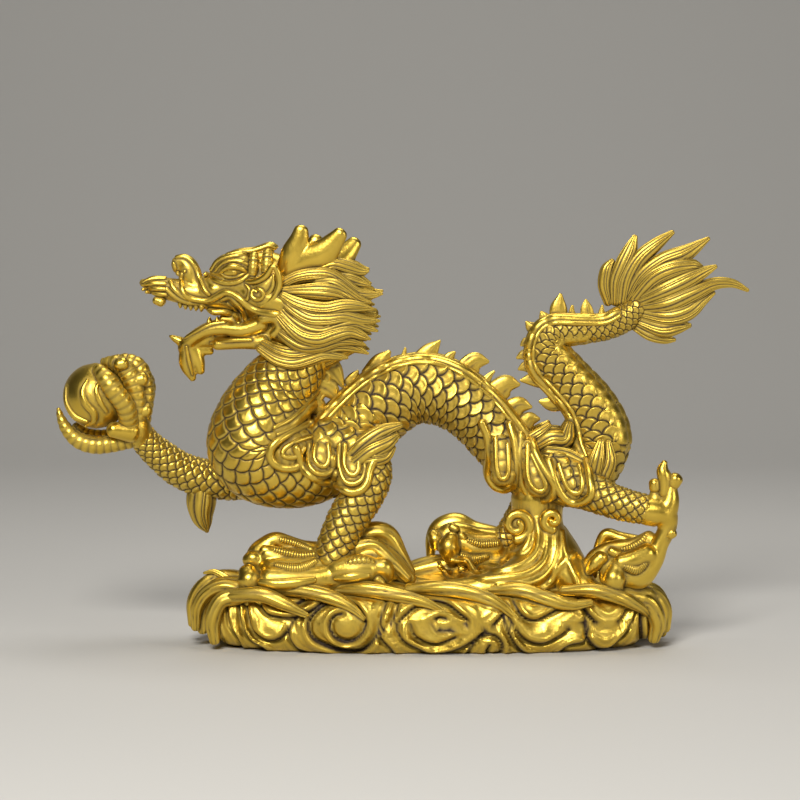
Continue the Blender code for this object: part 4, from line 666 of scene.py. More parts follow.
head = {
    "forms": [
        [(-38, 0, 100, 9.5), (-46, 0, 104, 10), (-54, 0, 107.5, 8.6), (-61, 0, 107.5, 6.4),
         (-67, 0, 106, 4.6)],
        [(-60, 0, 105.5, 5.4), (-68, 0, 105.2, 4.0), (-76, 0, 106.2, 3.6), (-81.5, 0, 107.4, 2.9),
         (-86.3, 0, 108.6, 1.2)],
        [(-68.6, 0, 105, 3.4), (-71.2, 0, 109.4, 2.8), (-72.6, 0, 113, 2.7), (-74.4, 0, 115, 2.0),
         (-76.3, 0, 114.6, 1.5), (-76.2, 0, 112.4, 1.1)],
        [(-60, 0, 108.5, 4.0), (-64.2, 0, 108.6, 2.6)],
        [(-40, 0, 108, 6.0), (-48, 0, 113.2, 4.6), (-56, 0, 112.8, 4.0), (-63, 0, 110, 3.2)],
        [(-46, 0, 95, 7.5), (-56, 0, 93.4, 4.2), (-64, 0, 92.4, 3.0), (-70.5, 0, 91, 2.6),
         (-74, 0, 88.6, 2.2)],
        [(-72.6, 0, 89, 2.8), (-73.0, 0, 84.2, 2.5), (-71.4, 0, 79.8, 1.1)],
        [(-71, 0, 88.4, 2.4), (-69.8, 0, 85, 2.1), (-69.0, 0, 82, 1.3)],
        [(-68.6, 0, 88.4, 1.6), (-66, 0, 88.0, 1.2)],
        [(-73.5, 0, 90.4, 1.6), (-76.3, 0, 91.6, 1.2), (-78.2, 0, 92.6, 0.5)],
        [(-52, 0, 96.4, 3.0), (-58, 0, 97.2, 2.2), (-62.5, 0, 97.6, 1.4)],
    ],
    "paired": {
        "lid": [(-64.6, -3.2, 112.4, 1.8), (-60.6, -4.4, 113.4, 3.2), (-56, -5.2, 114.2, 3.2)],
        "nostril": [(-66.8, -3.2, 106.2, 1.6), (-64.4, -3.8, 106.8, 2.1), (-62, -4, 106.4, 1.5)],
        "first brow roll": [(-53.0, -7.4, 110.9, 1.4), (-52.8, -7.2, 114, 1.6), (-52.6, -6.2, 117, 1.4)],
        "second brow roll": [(-49, -8, 111.8, 1.6), (-48.7, -7.6, 115, 1.9), (-48.6, -6.4, 117.8, 1.6)],
        "cheek": [(-58, -3.8, 104.4, 3.0), (-51, -6.4, 105, 4.0), (-44, -7, 103, 5.0)],
        "ear": [(-53, -7.4, 106.2, 1.8), (-49.4, -8.8, 107.6, 2.4), (-47, -9.6, 110.6, 1.7)],
        "ear rim": [(-54.7, -8, 109.2, 0.8), (-51.7, -9.8, 109.6, 0.9), (-49, -11, 111.2, 1.0),
                    (-46.9, -11.8, 114, 0.8), (-45.5, -11.8, 112.4, 0.9), (-44.9, -11.4, 109.4, 1.0),
                    (-46, -11, 105.8, 1.0), (-47.9, -10.4, 103.6, 0.9), (-50.5, -9.4, 102.2, 0.7)],
        "inner ear rim": [(-46.7, -10.9, 111.2, 0.5), (-47, -10.9, 107.9, 0.7), (-48.6, -10.4, 105.6, 0.7),
                          (-50.4, -9.4, 103.8, 0.5)],
        "fang": [(-82.2, -1.6, 103.4, 1.3), (-80.6, -1.8, 102.9, 1.5)],
        "lower lip": [(-50, -6.6, 96.9, 2.4), (-56, -6.0, 94.9, 2.2), (-62, -4.9, 95.2, 2.0),
                      (-67, -3.9, 94.4, 1.8), (-71, -2.6, 92.2, 1.8), (-73.4, -1.2, 89.8, 1.8)],
        "jaw frill": [(-50, -5.4, 91.2, 2.4), (-57, -4.4, 90.9, 2.0), (-64, -3.2, 90.2, 1.7)],
        "jowl": [(-50, -8.4, 98.2, 1.6), (-46.2, -9.6, 98.7, 1.7), (-45, -9.8, 96.1, 1.6),
                 (-46.8, -9.0, 93.8, 1.5)],
        "eyeball": [(-60.9, -6.3, 112.0, 1.1), (-58.4, -7.1, 112.1, 1.2)],
    },
    # ridges carved on the face, as the front shows them: x, z, radius
    "ridges": [
        [(-86.4, 108.7, 0.5), (-83.6, 109.7, 0.8), (-79.8, 109.8, 0.6)],
        [(-86.6, 107.8, 0.5), (-83.6, 108.3, 0.8), (-79.8, 108.2, 0.6)],
        [(-86, 106.8, 0.5), (-83, 106.8, 0.8), (-79.6, 106.6, 0.6)],
        [(-85, 106, 0.5), (-82.2, 105.2, 0.8), (-79.4, 105, 0.6)],
        [(-79.4, 106.7, 0.7), (-77.5, 104.9, 0.8), (-74.9, 103.4, 0.9), (-72.3, 102.6, 0.9),
         (-69.7, 102.4, 0.9), (-67, 101.1, 0.9), (-64.8, 100, 1.0), (-61.8, 100, 1.0), (-59.6, 99.2, 1.0),
         (-58, 97.7, 0.9), (-57.8, 96.4, 0.6)],
        [(-78.3, 108.8, 0.7), (-76.8, 106.4, 0.9), (-74.5, 104.4, 0.8), (-72.3, 103.2, 0.6)],
        [(-76.4, 116.2, 0.6), (-74, 116.3, 0.8), (-71.8, 114.9, 0.9), (-70.3, 112.4, 0.9),
         (-69.3, 109.4, 0.9), (-68, 106.6, 0.8), (-66.6, 105, 0.6)],
        [(-77.2, 114.4, 0.5), (-76.6, 112.4, 0.6), (-75.2, 111.2, 0.6), (-73.8, 112, 0.5)],
        [(-74.6, 111.2, 0.7), (-74.9, 107.9, 0.9), (-73.8, 104.9, 1.0), (-71.6, 103.7, 1.0),
         (-68.6, 103.2, 1.0), (-66.3, 103.4, 1.0), (-64.1, 104.5, 1.1), (-61.8, 105.6, 1.1),
         (-59.6, 105.2, 1.1), (-57.3, 103.7, 1.1), (-54.7, 101.5, 1.2), (-51.7, 100, 1.2),
         (-47.9, 99.2, 1.2), (-44.9, 98.9, 1.1), (-42.3, 97.7, 0.9)],
        [(-67.4, 111.4, 0.6), (-64.8, 109.4, 0.8), (-61.1, 108.4, 0.8), (-57.3, 109, 0.8),
         (-54.6, 111, 0.6)],
        [(-63, 111.4, 0.4), (-61.1, 110.3, 0.6), (-58, 110.5, 0.6), (-55.4, 111.6, 0.4)],
        [(-63.4, 111.4, 0.4), (-61.6, 112.9, 0.8), (-59.4, 113.5, 1.0), (-57, 112.9, 0.8),
         (-55.2, 111.5, 0.4)],
        [(-66, 112.4, 0.6), (-63.9, 115, 0.9), (-60.5, 116.3, 0.9), (-57.6, 116.7, 0.9),
         (-54.9, 116.9, 0.8)],
        [(-64.8, 112, 0.4), (-62.8, 114.2, 0.6), (-60, 115.1, 0.6), (-57, 114.9, 0.6), (-55, 114, 0.5)],
        [(-61, 117, 0.7), (-57.3, 118, 0.9), (-53.5, 118.4, 0.9), (-51.3, 119, 0.9), (-48.2, 120, 0.9),
         (-46.4, 119.3, 0.7)],
        [(-62.9, 103.4, 0.6), (-60.3, 104.2, 0.8), (-58.4, 102.6, 0.9), (-56.2, 100, 0.9),
         (-55.6, 97, 0.7)],
        [(-61, 102.4, 0.5), (-59.2, 101.1, 0.7), (-57.5, 99, 0.7), (-57.3, 96.6, 0.5)],
        [(-52.3, 106.9, 0.5), (-50.6, 106, 0.7), (-50.6, 104.2, 0.7), (-52.3, 103.5, 0.7),
         (-53.8, 104.6, 0.7), (-53.4, 106.2, 0.6), (-52.3, 105.8, 0.4)],
        [(-55.6, 108, 0.5), (-54.4, 106.2, 0.7), (-55.2, 103.6, 0.6)],
        [(-73.4, 89.4, 0.4), (-72.6, 85, 0.6), (-71.6, 81, 0.3)],
        [(-73.6, 92, 0.5), (-70, 94.2, 0.7), (-66, 96, 0.7), (-62, 96.6, 0.6)],
        [(-66, 90.4, 0.5), (-60, 91.2, 0.7), (-54, 91.4, 0.6)],
    ],
    # teeth: x, z of root and tip
    "teeth": [(-75, 102.8, 101.2), (-73.4, 102.4, 100.8), (-71.8, 102.2, 100.6), (-70.2, 102, 100.4),
              (-68.6, 101.6, 100.2), (-66.4, 96.2, 98), (-64, 96.4, 98.2)],
    "antler": [
        [(-42.2, -5.4, 112.6, 4.0), (-40.6, -6.4, 117.6, 4.1), (-39.2, -7.2, 121.6, 3.1),
         (-38.6, -7.6, 124.4, 2.3)],
        [(-41, -5.4, 113.6, 4.4), (-36.5, -6.4, 116.0, 4.6), (-32, -7.4, 117.8, 4.4),
         (-28.8, -8.4, 121.2, 3.1), (-27, -9, 123.4, 2.3)],
        [(-38, -5.4, 112.6, 4.2), (-33, -6.2, 113.6, 3.8), (-30.4, -7, 116, 3.4)],
    ],
    "farAntler": {"back": 4.0, "down": 3.4},
    "antlerFlatness": 0.62,
    "upperTeeth": 102.6,   # the height at which the face meets the upper teeth
    "lowerTeeth": -2.6,    # how far the lower teeth stand out from the middle
    "melted": ("lid", "nostril", "cheek", "ear", "jaw frill", "jowl", "lower lip"),
}


def carveHead():
    shells = [tube(form, step=0.8, around=24) for form in head["forms"]]
    for name, form in head["paired"].items():
        if name in head["melted"]:
            shells += [tube(form, step=0.8, around=24), tube(mirrored(form), step=0.8, around=24)]
        else:
            addTube("head", form, True, step=0.45, around=16,
                    relief=ribs(1.5, 0.3) if "roll" in name else plain)
    pieces["head"].append(fused(shells, grain=0.4, softness=2, most=50000))
    tree = treeOfShells(pieces["head"][-1:])
    for ridge in head["ridges"]:
        addTube("head", laidOn(tree, ridge, 0.1), True, step=0.55, around=12)
    for x, root, tip in head["teeth"]:
        y = front(tree, x, head["upperTeeth"]).y if root > tip else head["lowerTeeth"]
        tooth = [(x, y + 0.5, root, 0.8), (x, y + 0.4, (root + tip) / 2, 0.7), (x, y + 0.5, tip, 0.3)]
        addTube("head", tooth, True, step=0.3, around=12)
    behind = head["farAntler"]
    near, far = [], []
    for form in head["antler"]:
        moved = [(x + behind["back"], -y, z - behind["down"], r) for x, y, z, r in form]
        near.append(tube(form, step=0.8, around=24, flat=head["antlerFlatness"]))
        far.append(tube(moved, step=0.8, around=24, flat=head["antlerFlatness"]))
    pieces["antlers"] = [fused(near, grain=0.36, softness=4, most=18000),
                         fused(far, grain=0.36, softness=4, most=14000)]
    print("head carved")


mane = {
    # locks of the near side from the cheek to their tips; the far side has their mirror images
    "locks": [
        [(-44.5, -9, 108.4, 1.6), (-39.9, -9.6, 110.6, 2.0), (-34.4, -9.8, 111.5, 2.3),
         (-29.8, -9.6, 111.2, 2.3), (-26.1, -9.2, 108.7, 2.2), (-22.5, -9, 106, 2.0),
         (-18.3, -8.8, 105.3, 1.4), (-14.6, -8.6, 105.7, 0.4)],
        [(-33, -7, 113, 1.8), (-29, -6.8, 114.4, 2.2), (-24.4, -6.4, 113.4, 2.2), (-20.6, -6.2, 112.2, 1.5),
         (-18.8, -6, 112.4, 0.5)],
        [(-28, -7.6, 110.6, 1.8), (-24.4, -7.4, 110, 2.2), (-21, -7, 108.8, 1.8), (-18.2, -7, 108, 0.5)],
        [(-44.4, -10.4, 106.4, 1.4), (-37.6, -11.4, 106.6, 2.2), (-32, -11.6, 106.6, 2.8),
         (-27.6, -11.2, 106, 2.4), (-23.6, -10.4, 104, 1.6), (-20.4, -10, 102.8, 0.6)],
        [(-44, -10.8, 105.2, 1.4), (-40.6, -11.6, 103.4, 1.9), (-36, -12, 101.9, 2.2),
         (-31, -12, 101.4, 2.2), (-26, -11.6, 102.2, 2.2), (-21.4, -11, 102, 1.7),
         (-17.2, -10.4, 101.4, 0.4)],
        [(-44.2, -10.8, 104.4, 1.4), (-40.6, -12, 101.2, 2.0), (-36, -12.6, 98.6, 2.4),
         (-30.6, -12.6, 98.4, 2.5), (-25.6, -12, 99, 2.3), (-20.4, -11.4, 98, 1.8),
         (-15.4, -10.8, 97.8, 0.4)],
        [(-45.2, -10.4, 102, 1.5), (-41.6, -12, 98.4, 2.0), (-37.2, -12.8, 95.8, 2.4),
         (-32.4, -12.9, 95, 2.4), (-27.8, -12.5, 96.4, 2.3), (-23, -12, 97.3, 2.1), (-19.4, -11.4, 96, 1.5),
         (-16, -11, 94.8, 0.4)],
        [(-45.4, -10, 99.6, 1.5), (-41.6, -11.8, 95.9, 2.0), (-38, -12.6, 93.4, 2.3),
         (-33.4, -12.8, 92.5, 2.4), (-28.8, -12.4, 93.8, 2.3), (-24.2, -11.8, 94.8, 2.0),
         (-20.8, -11.2, 93.6, 1.4), (-18.2, -10.8, 92.4, 0.4)],
        [(-46, -9, 95.6, 1.6), (-42, -11, 92.6, 2.1), (-38, -12, 90.6, 2.3), (-33, -12.1, 90.8, 2.3),
         (-28, -11.6, 92.2, 2.0), (-23.4, -11, 92, 1.5), (-19.6, -10.6, 90.6, 0.4)],
        [(-50.4, -7.6, 91, 1.4), (-46, -9.8, 88.8, 2.0), (-41, -11, 87.8, 2.4), (-36.2, -11.4, 88.7, 2.6),
         (-31.8, -11, 90, 2.5), (-27, -10.6, 90.6, 2.2), (-22.4, -10, 89.6, 1.5), (-18.8, -9.6, 88, 0.4)],
        [(-51, -7, 89.4, 1.3), (-46, -9, 86.4, 1.9), (-41, -10, 85.4, 2.1), (-36.6, -10.2, 86.4, 2.2),
         (-32, -9.8, 87.7, 2.0), (-28, -9.4, 87.3, 1.4), (-25, -9, 86.8, 0.5)],
        [(-34, -9.6, 109, 1.4), (-29, -10.4, 108.8, 1.9), (-25, -10, 106.4, 1.9), (-21.4, -9.6, 104, 1.5),
         (-18, -9.2, 103.2, 0.5)],
        [(-30, -9.8, 100, 1.6), (-25, -9.6, 100.6, 1.9), (-20.4, -9.2, 100, 1.5), (-16.6, -9, 99.4, 0.5)],
    ],
    "lockThickness": 0.8,
    "stagger": (0.7, -0.5, 0.1),
    "core": [
        [(-42, 0, 96, 10.0), (-34, 0, 97, 11.0), (-27, 0, 98, 9.0), (-21, 0, 99, 5.0), (-17, 0, 99.5, 1.6)],
        [(-42, 0, 106, 7.0), (-33, 0, 107.5, 7.0), (-25, 0, 107, 5.0), (-18, 0, 106, 1.6)],
        [(-44, 0, 91, 7.5), (-36, 0, 90, 8.5), (-28, 0, 90.5, 6.0), (-21.5, 0, 90, 1.8)],
    ],
}


def carveMane():
    thickness = mane["lockThickness"]
    for index, lock in enumerate(mane["locks"]):
        lock = [(x, y + mane["stagger"][index % 3], z, r) for x, y, z, r in lock]
        seed = index * 1.3
        addTube("mane_near", lock, step=1.0, around=60, flat=thickness, relief=strands(15, 0.42, seed))
        addTube("mane_far", mirrored(lock), step=1.25, around=44, flat=thickness,
                relief=strands(11, 0.42, seed))
    for index, form in enumerate(mane["core"]):
        addTube("mane_far", form, step=1.4, around=120, relief=strands(30, 0.5, index))
    print("mane carved")


tailTuft = {
    # locks from under the last scales of the tail to their tips
    "locks": [
        [(53.2, 2.4, 102.6, 1.5), (51.9, 1.4, 107.6, 2.0), (52.6, 1, 112.4, 2.0), (54.2, 1, 115, 0.9)],
        [(55.4, 2.2, 102.8, 1.8), (55.6, 1, 109, 2.4), (57.4, 0.4, 113.8, 2.6), (59.4, 0.4, 118, 2.3),
         (60.9, 0.6, 122.2, 0.9)],
        [(57.6, 2, 103, 2.0), (58.9, 0.4, 109.6, 2.4), (62.4, -0.2, 115.6, 2.5), (67, -0.2, 119.8, 2.1),
         (72.1, 0.4, 123.6, 0.8)],
        [(59.4, 1.8, 103.4, 2.2), (63, -0.2, 110.2, 2.6), (69, -1, 114.8, 2.8), (76, -1, 117.4, 2.6),
         (82.8, 0, 121.7, 0.7)],
        [(61, 1.4, 103.8, 2.4), (66, -1.2, 109.6, 3.0), (72.2, -2, 112.8, 3.1), (78, -1.6, 113.8, 2.0),
         (80.6, -1, 113.2, 0.9)],
        [(62.4, 1.2, 102.6, 2.4), (69.6, -2, 106.2, 3.0), (76.4, -2.2, 109.4, 2.8),
         (81.4, -1.4, 111.8, 1.8), (85, -0.6, 113.4, 0.7)],
        [(62.8, 1.2, 101, 2.2), (70.6, -2, 102.4, 2.9), (78, -2, 105.4, 2.7), (84.4, -1, 108.2, 2.0),
         (90, -0.4, 108.4, 1.4), (94.7, 0, 106.3, 0.6)],
        [(62.6, 1.4, 99.4, 2.2), (70.4, -1.6, 98.6, 3.1), (76.6, -1.8, 100.2, 2.9), (81, -1, 103.4, 1.9),
         (84.4, -0.4, 105.6, 0.8)],
        [(62, 1.6, 97.2, 2.0), (69, -0.8, 95, 2.8), (74, -1, 95.6, 2.3), (77.4, -0.4, 95.8, 0.8)],
        [(61.4, 2, 95.4, 1.6), (65.6, 0.6, 93, 2.0), (70, 0.4, 91.6, 1.6), (72.9, 0.6, 91.4, 0.7)],
        [(61, 3.4, 101, 3.0), (67, 3, 105.6, 5.4), (73, 2.6, 109, 4.8), (78, 2, 111.6, 2.0)],
        [(61, 3.4, 98.6, 3.0), (68, 3, 99, 4.6), (75, 2.6, 102, 3.6), (80.4, 2, 105.2, 1.4)],
    ],
    "flatness": 0.62,
}


def carveTailTuft():
    for index, lock in enumerate(tailTuft["locks"]):
        count = round(max(r for x, y, z, r in lock) * 5)
        relief = strands(count, 0.45, index * 1.7)
        addTube("tail_tuft", lock, step=1.0, around=4 * count, flat=tailTuft["flatness"], relief=relief)
    print("tail tuft carved")


pearl = {
    "radius": 9.9,
    "wrist": (-87.6, 4.4, 62.6),
    "wristReach": (1.34, 0.05, -1.18),
    # raised swirls on the pearl, as the front shows them: x, z, radius
    "swirls": [
        [(-109.4, 77, 0.5), (-109.2, 72.4, 0.9), (-106.6, 68.4, 1.1), (-103.2, 67, 0.6)],
        [(-103, 79.4, 0.5), (-104.5, 76, 0.9), (-103.6, 72.4, 1.2), (-101.2, 69.6, 1.2), (-101.2, 67, 0.9),
         (-103.6, 65.6, 0.5)],
        [(-98.6, 80, 0.5), (-100.4, 76.6, 0.8), (-99.4, 73, 0.9), (-97.4, 70, 0.6)],
    ],
    "knuckles": [(-103.5, 2, 60.6, 1.8), (-100, 2, 60.6, 1.6), (-86, 0.6, 70, 2.2), (-87, -0.6, 79.4, 2.3),
                 (-92.6, -2.6, 84.2, 2.0)],
    "fingerSwell": 1.08,
    # fingers, in pearl radii from the pearl's middle
    "fingers": [
        [(1.34, 0.05, -1.25, 0.40), (1.18, -0.12, -0.9, 0.44), (1.12, -0.15, -0.35, 0.32)],
        [(1.1, -0.4, -1.05, 0.32), (0.55, -0.6, -0.98, 0.22)],
        [(1.05, -0.45, -0.8, 0.30), (0.95, -0.75, -0.25, 0.28), (0.62, -0.92, 0.25, 0.28),
         (0.36, -0.86, 0.62, 0.25), (0.12, -0.62, 0.88, 0.17)],
        [(1.26, -0.3, -0.7, 0.26), (1.26, -0.42, 0.1, 0.26), (1.0, -0.42, 0.76, 0.28),
         (0.66, -0.4, 1.02, 0.24), (0.28, -0.3, 1.06, 0.13)],
        [(1.42, 0, -0.75, 0.24), (1.52, 0, 0.1, 0.25), (1.36, 0.05, 0.78, 0.26), (1.0, 0.1, 1.02, 0.25),
         (0.55, 0.12, 1.1, 0.14)],
        [(1.38, 0.35, -0.6, 0.22), (1.56, 0.45, 0.2, 0.22), (1.36, 0.5, 0.66, 0.22), (0.9, 0.55, 0.84, 0.2),
         (0.5, 0.5, 0.94, 0.12)],
        [(1.1, -0.1, -1.3, 0.27), (0.45, -0.15, -1.46, 0.25), (-0.05, -0.2, -1.48, 0.26),
         (-0.52, -0.2, -1.34, 0.24), (-0.86, -0.2, -1.02, 0.19), (-1.04, -0.2, -0.68, 0.13),
         (-1.12, -0.2, -0.4, 0.07)],
        [(1.1, 0.4, -1.1, 0.24), (0.3, 0.5, -1.3, 0.22), (-0.3, 0.5, -1.24, 0.2),
         (-0.66, 0.42, -1.0, 0.15)],
    ],
}


def carvePearl():
    radius = pearl["radius"]
    middle = [w - reach * radius for w, reach in zip(pearl["wrist"], pearl["wristReach"])]
    x, y, z = middle
    angles = np.linspace(0.06, math.pi - 0.06, 15)
    ball = [(x, y, z - radius * math.cos(angle), max(radius * math.sin(angle), 0.3)) for angle in angles]
    addTube("pearl_hand", ball, step=0.7, around=72, bulge=0.05)
    tree = treeOf("pearl_hand")
    for swirl in pearl["swirls"]:
        addTube("pearl_hand", laidOn(tree, swirl, -0.1), True, step=0.7, around=14)
    for index, finger in enumerate(pearl["fingers"]):
        row = [(x + radius * dx, y + radius * dy, z + radius * dz, radius * r * pearl["fingerSwell"])
               for dx, dy, dz, r in finger]
        relief = ribs(2.1, 0.26, index * 0.3) if index > 1 else plain
        addTube("pearl_hand", row, step=0.35, around=22, relief=relief)
    for x, y, z, r in pearl["knuckles"]:
        addTube("pearl_hand", [(x - 0.7, y, z, r), (x + 0.7, y, z + 0.3, r)], step=0.4, around=20)
    print("pearl and hand carved")


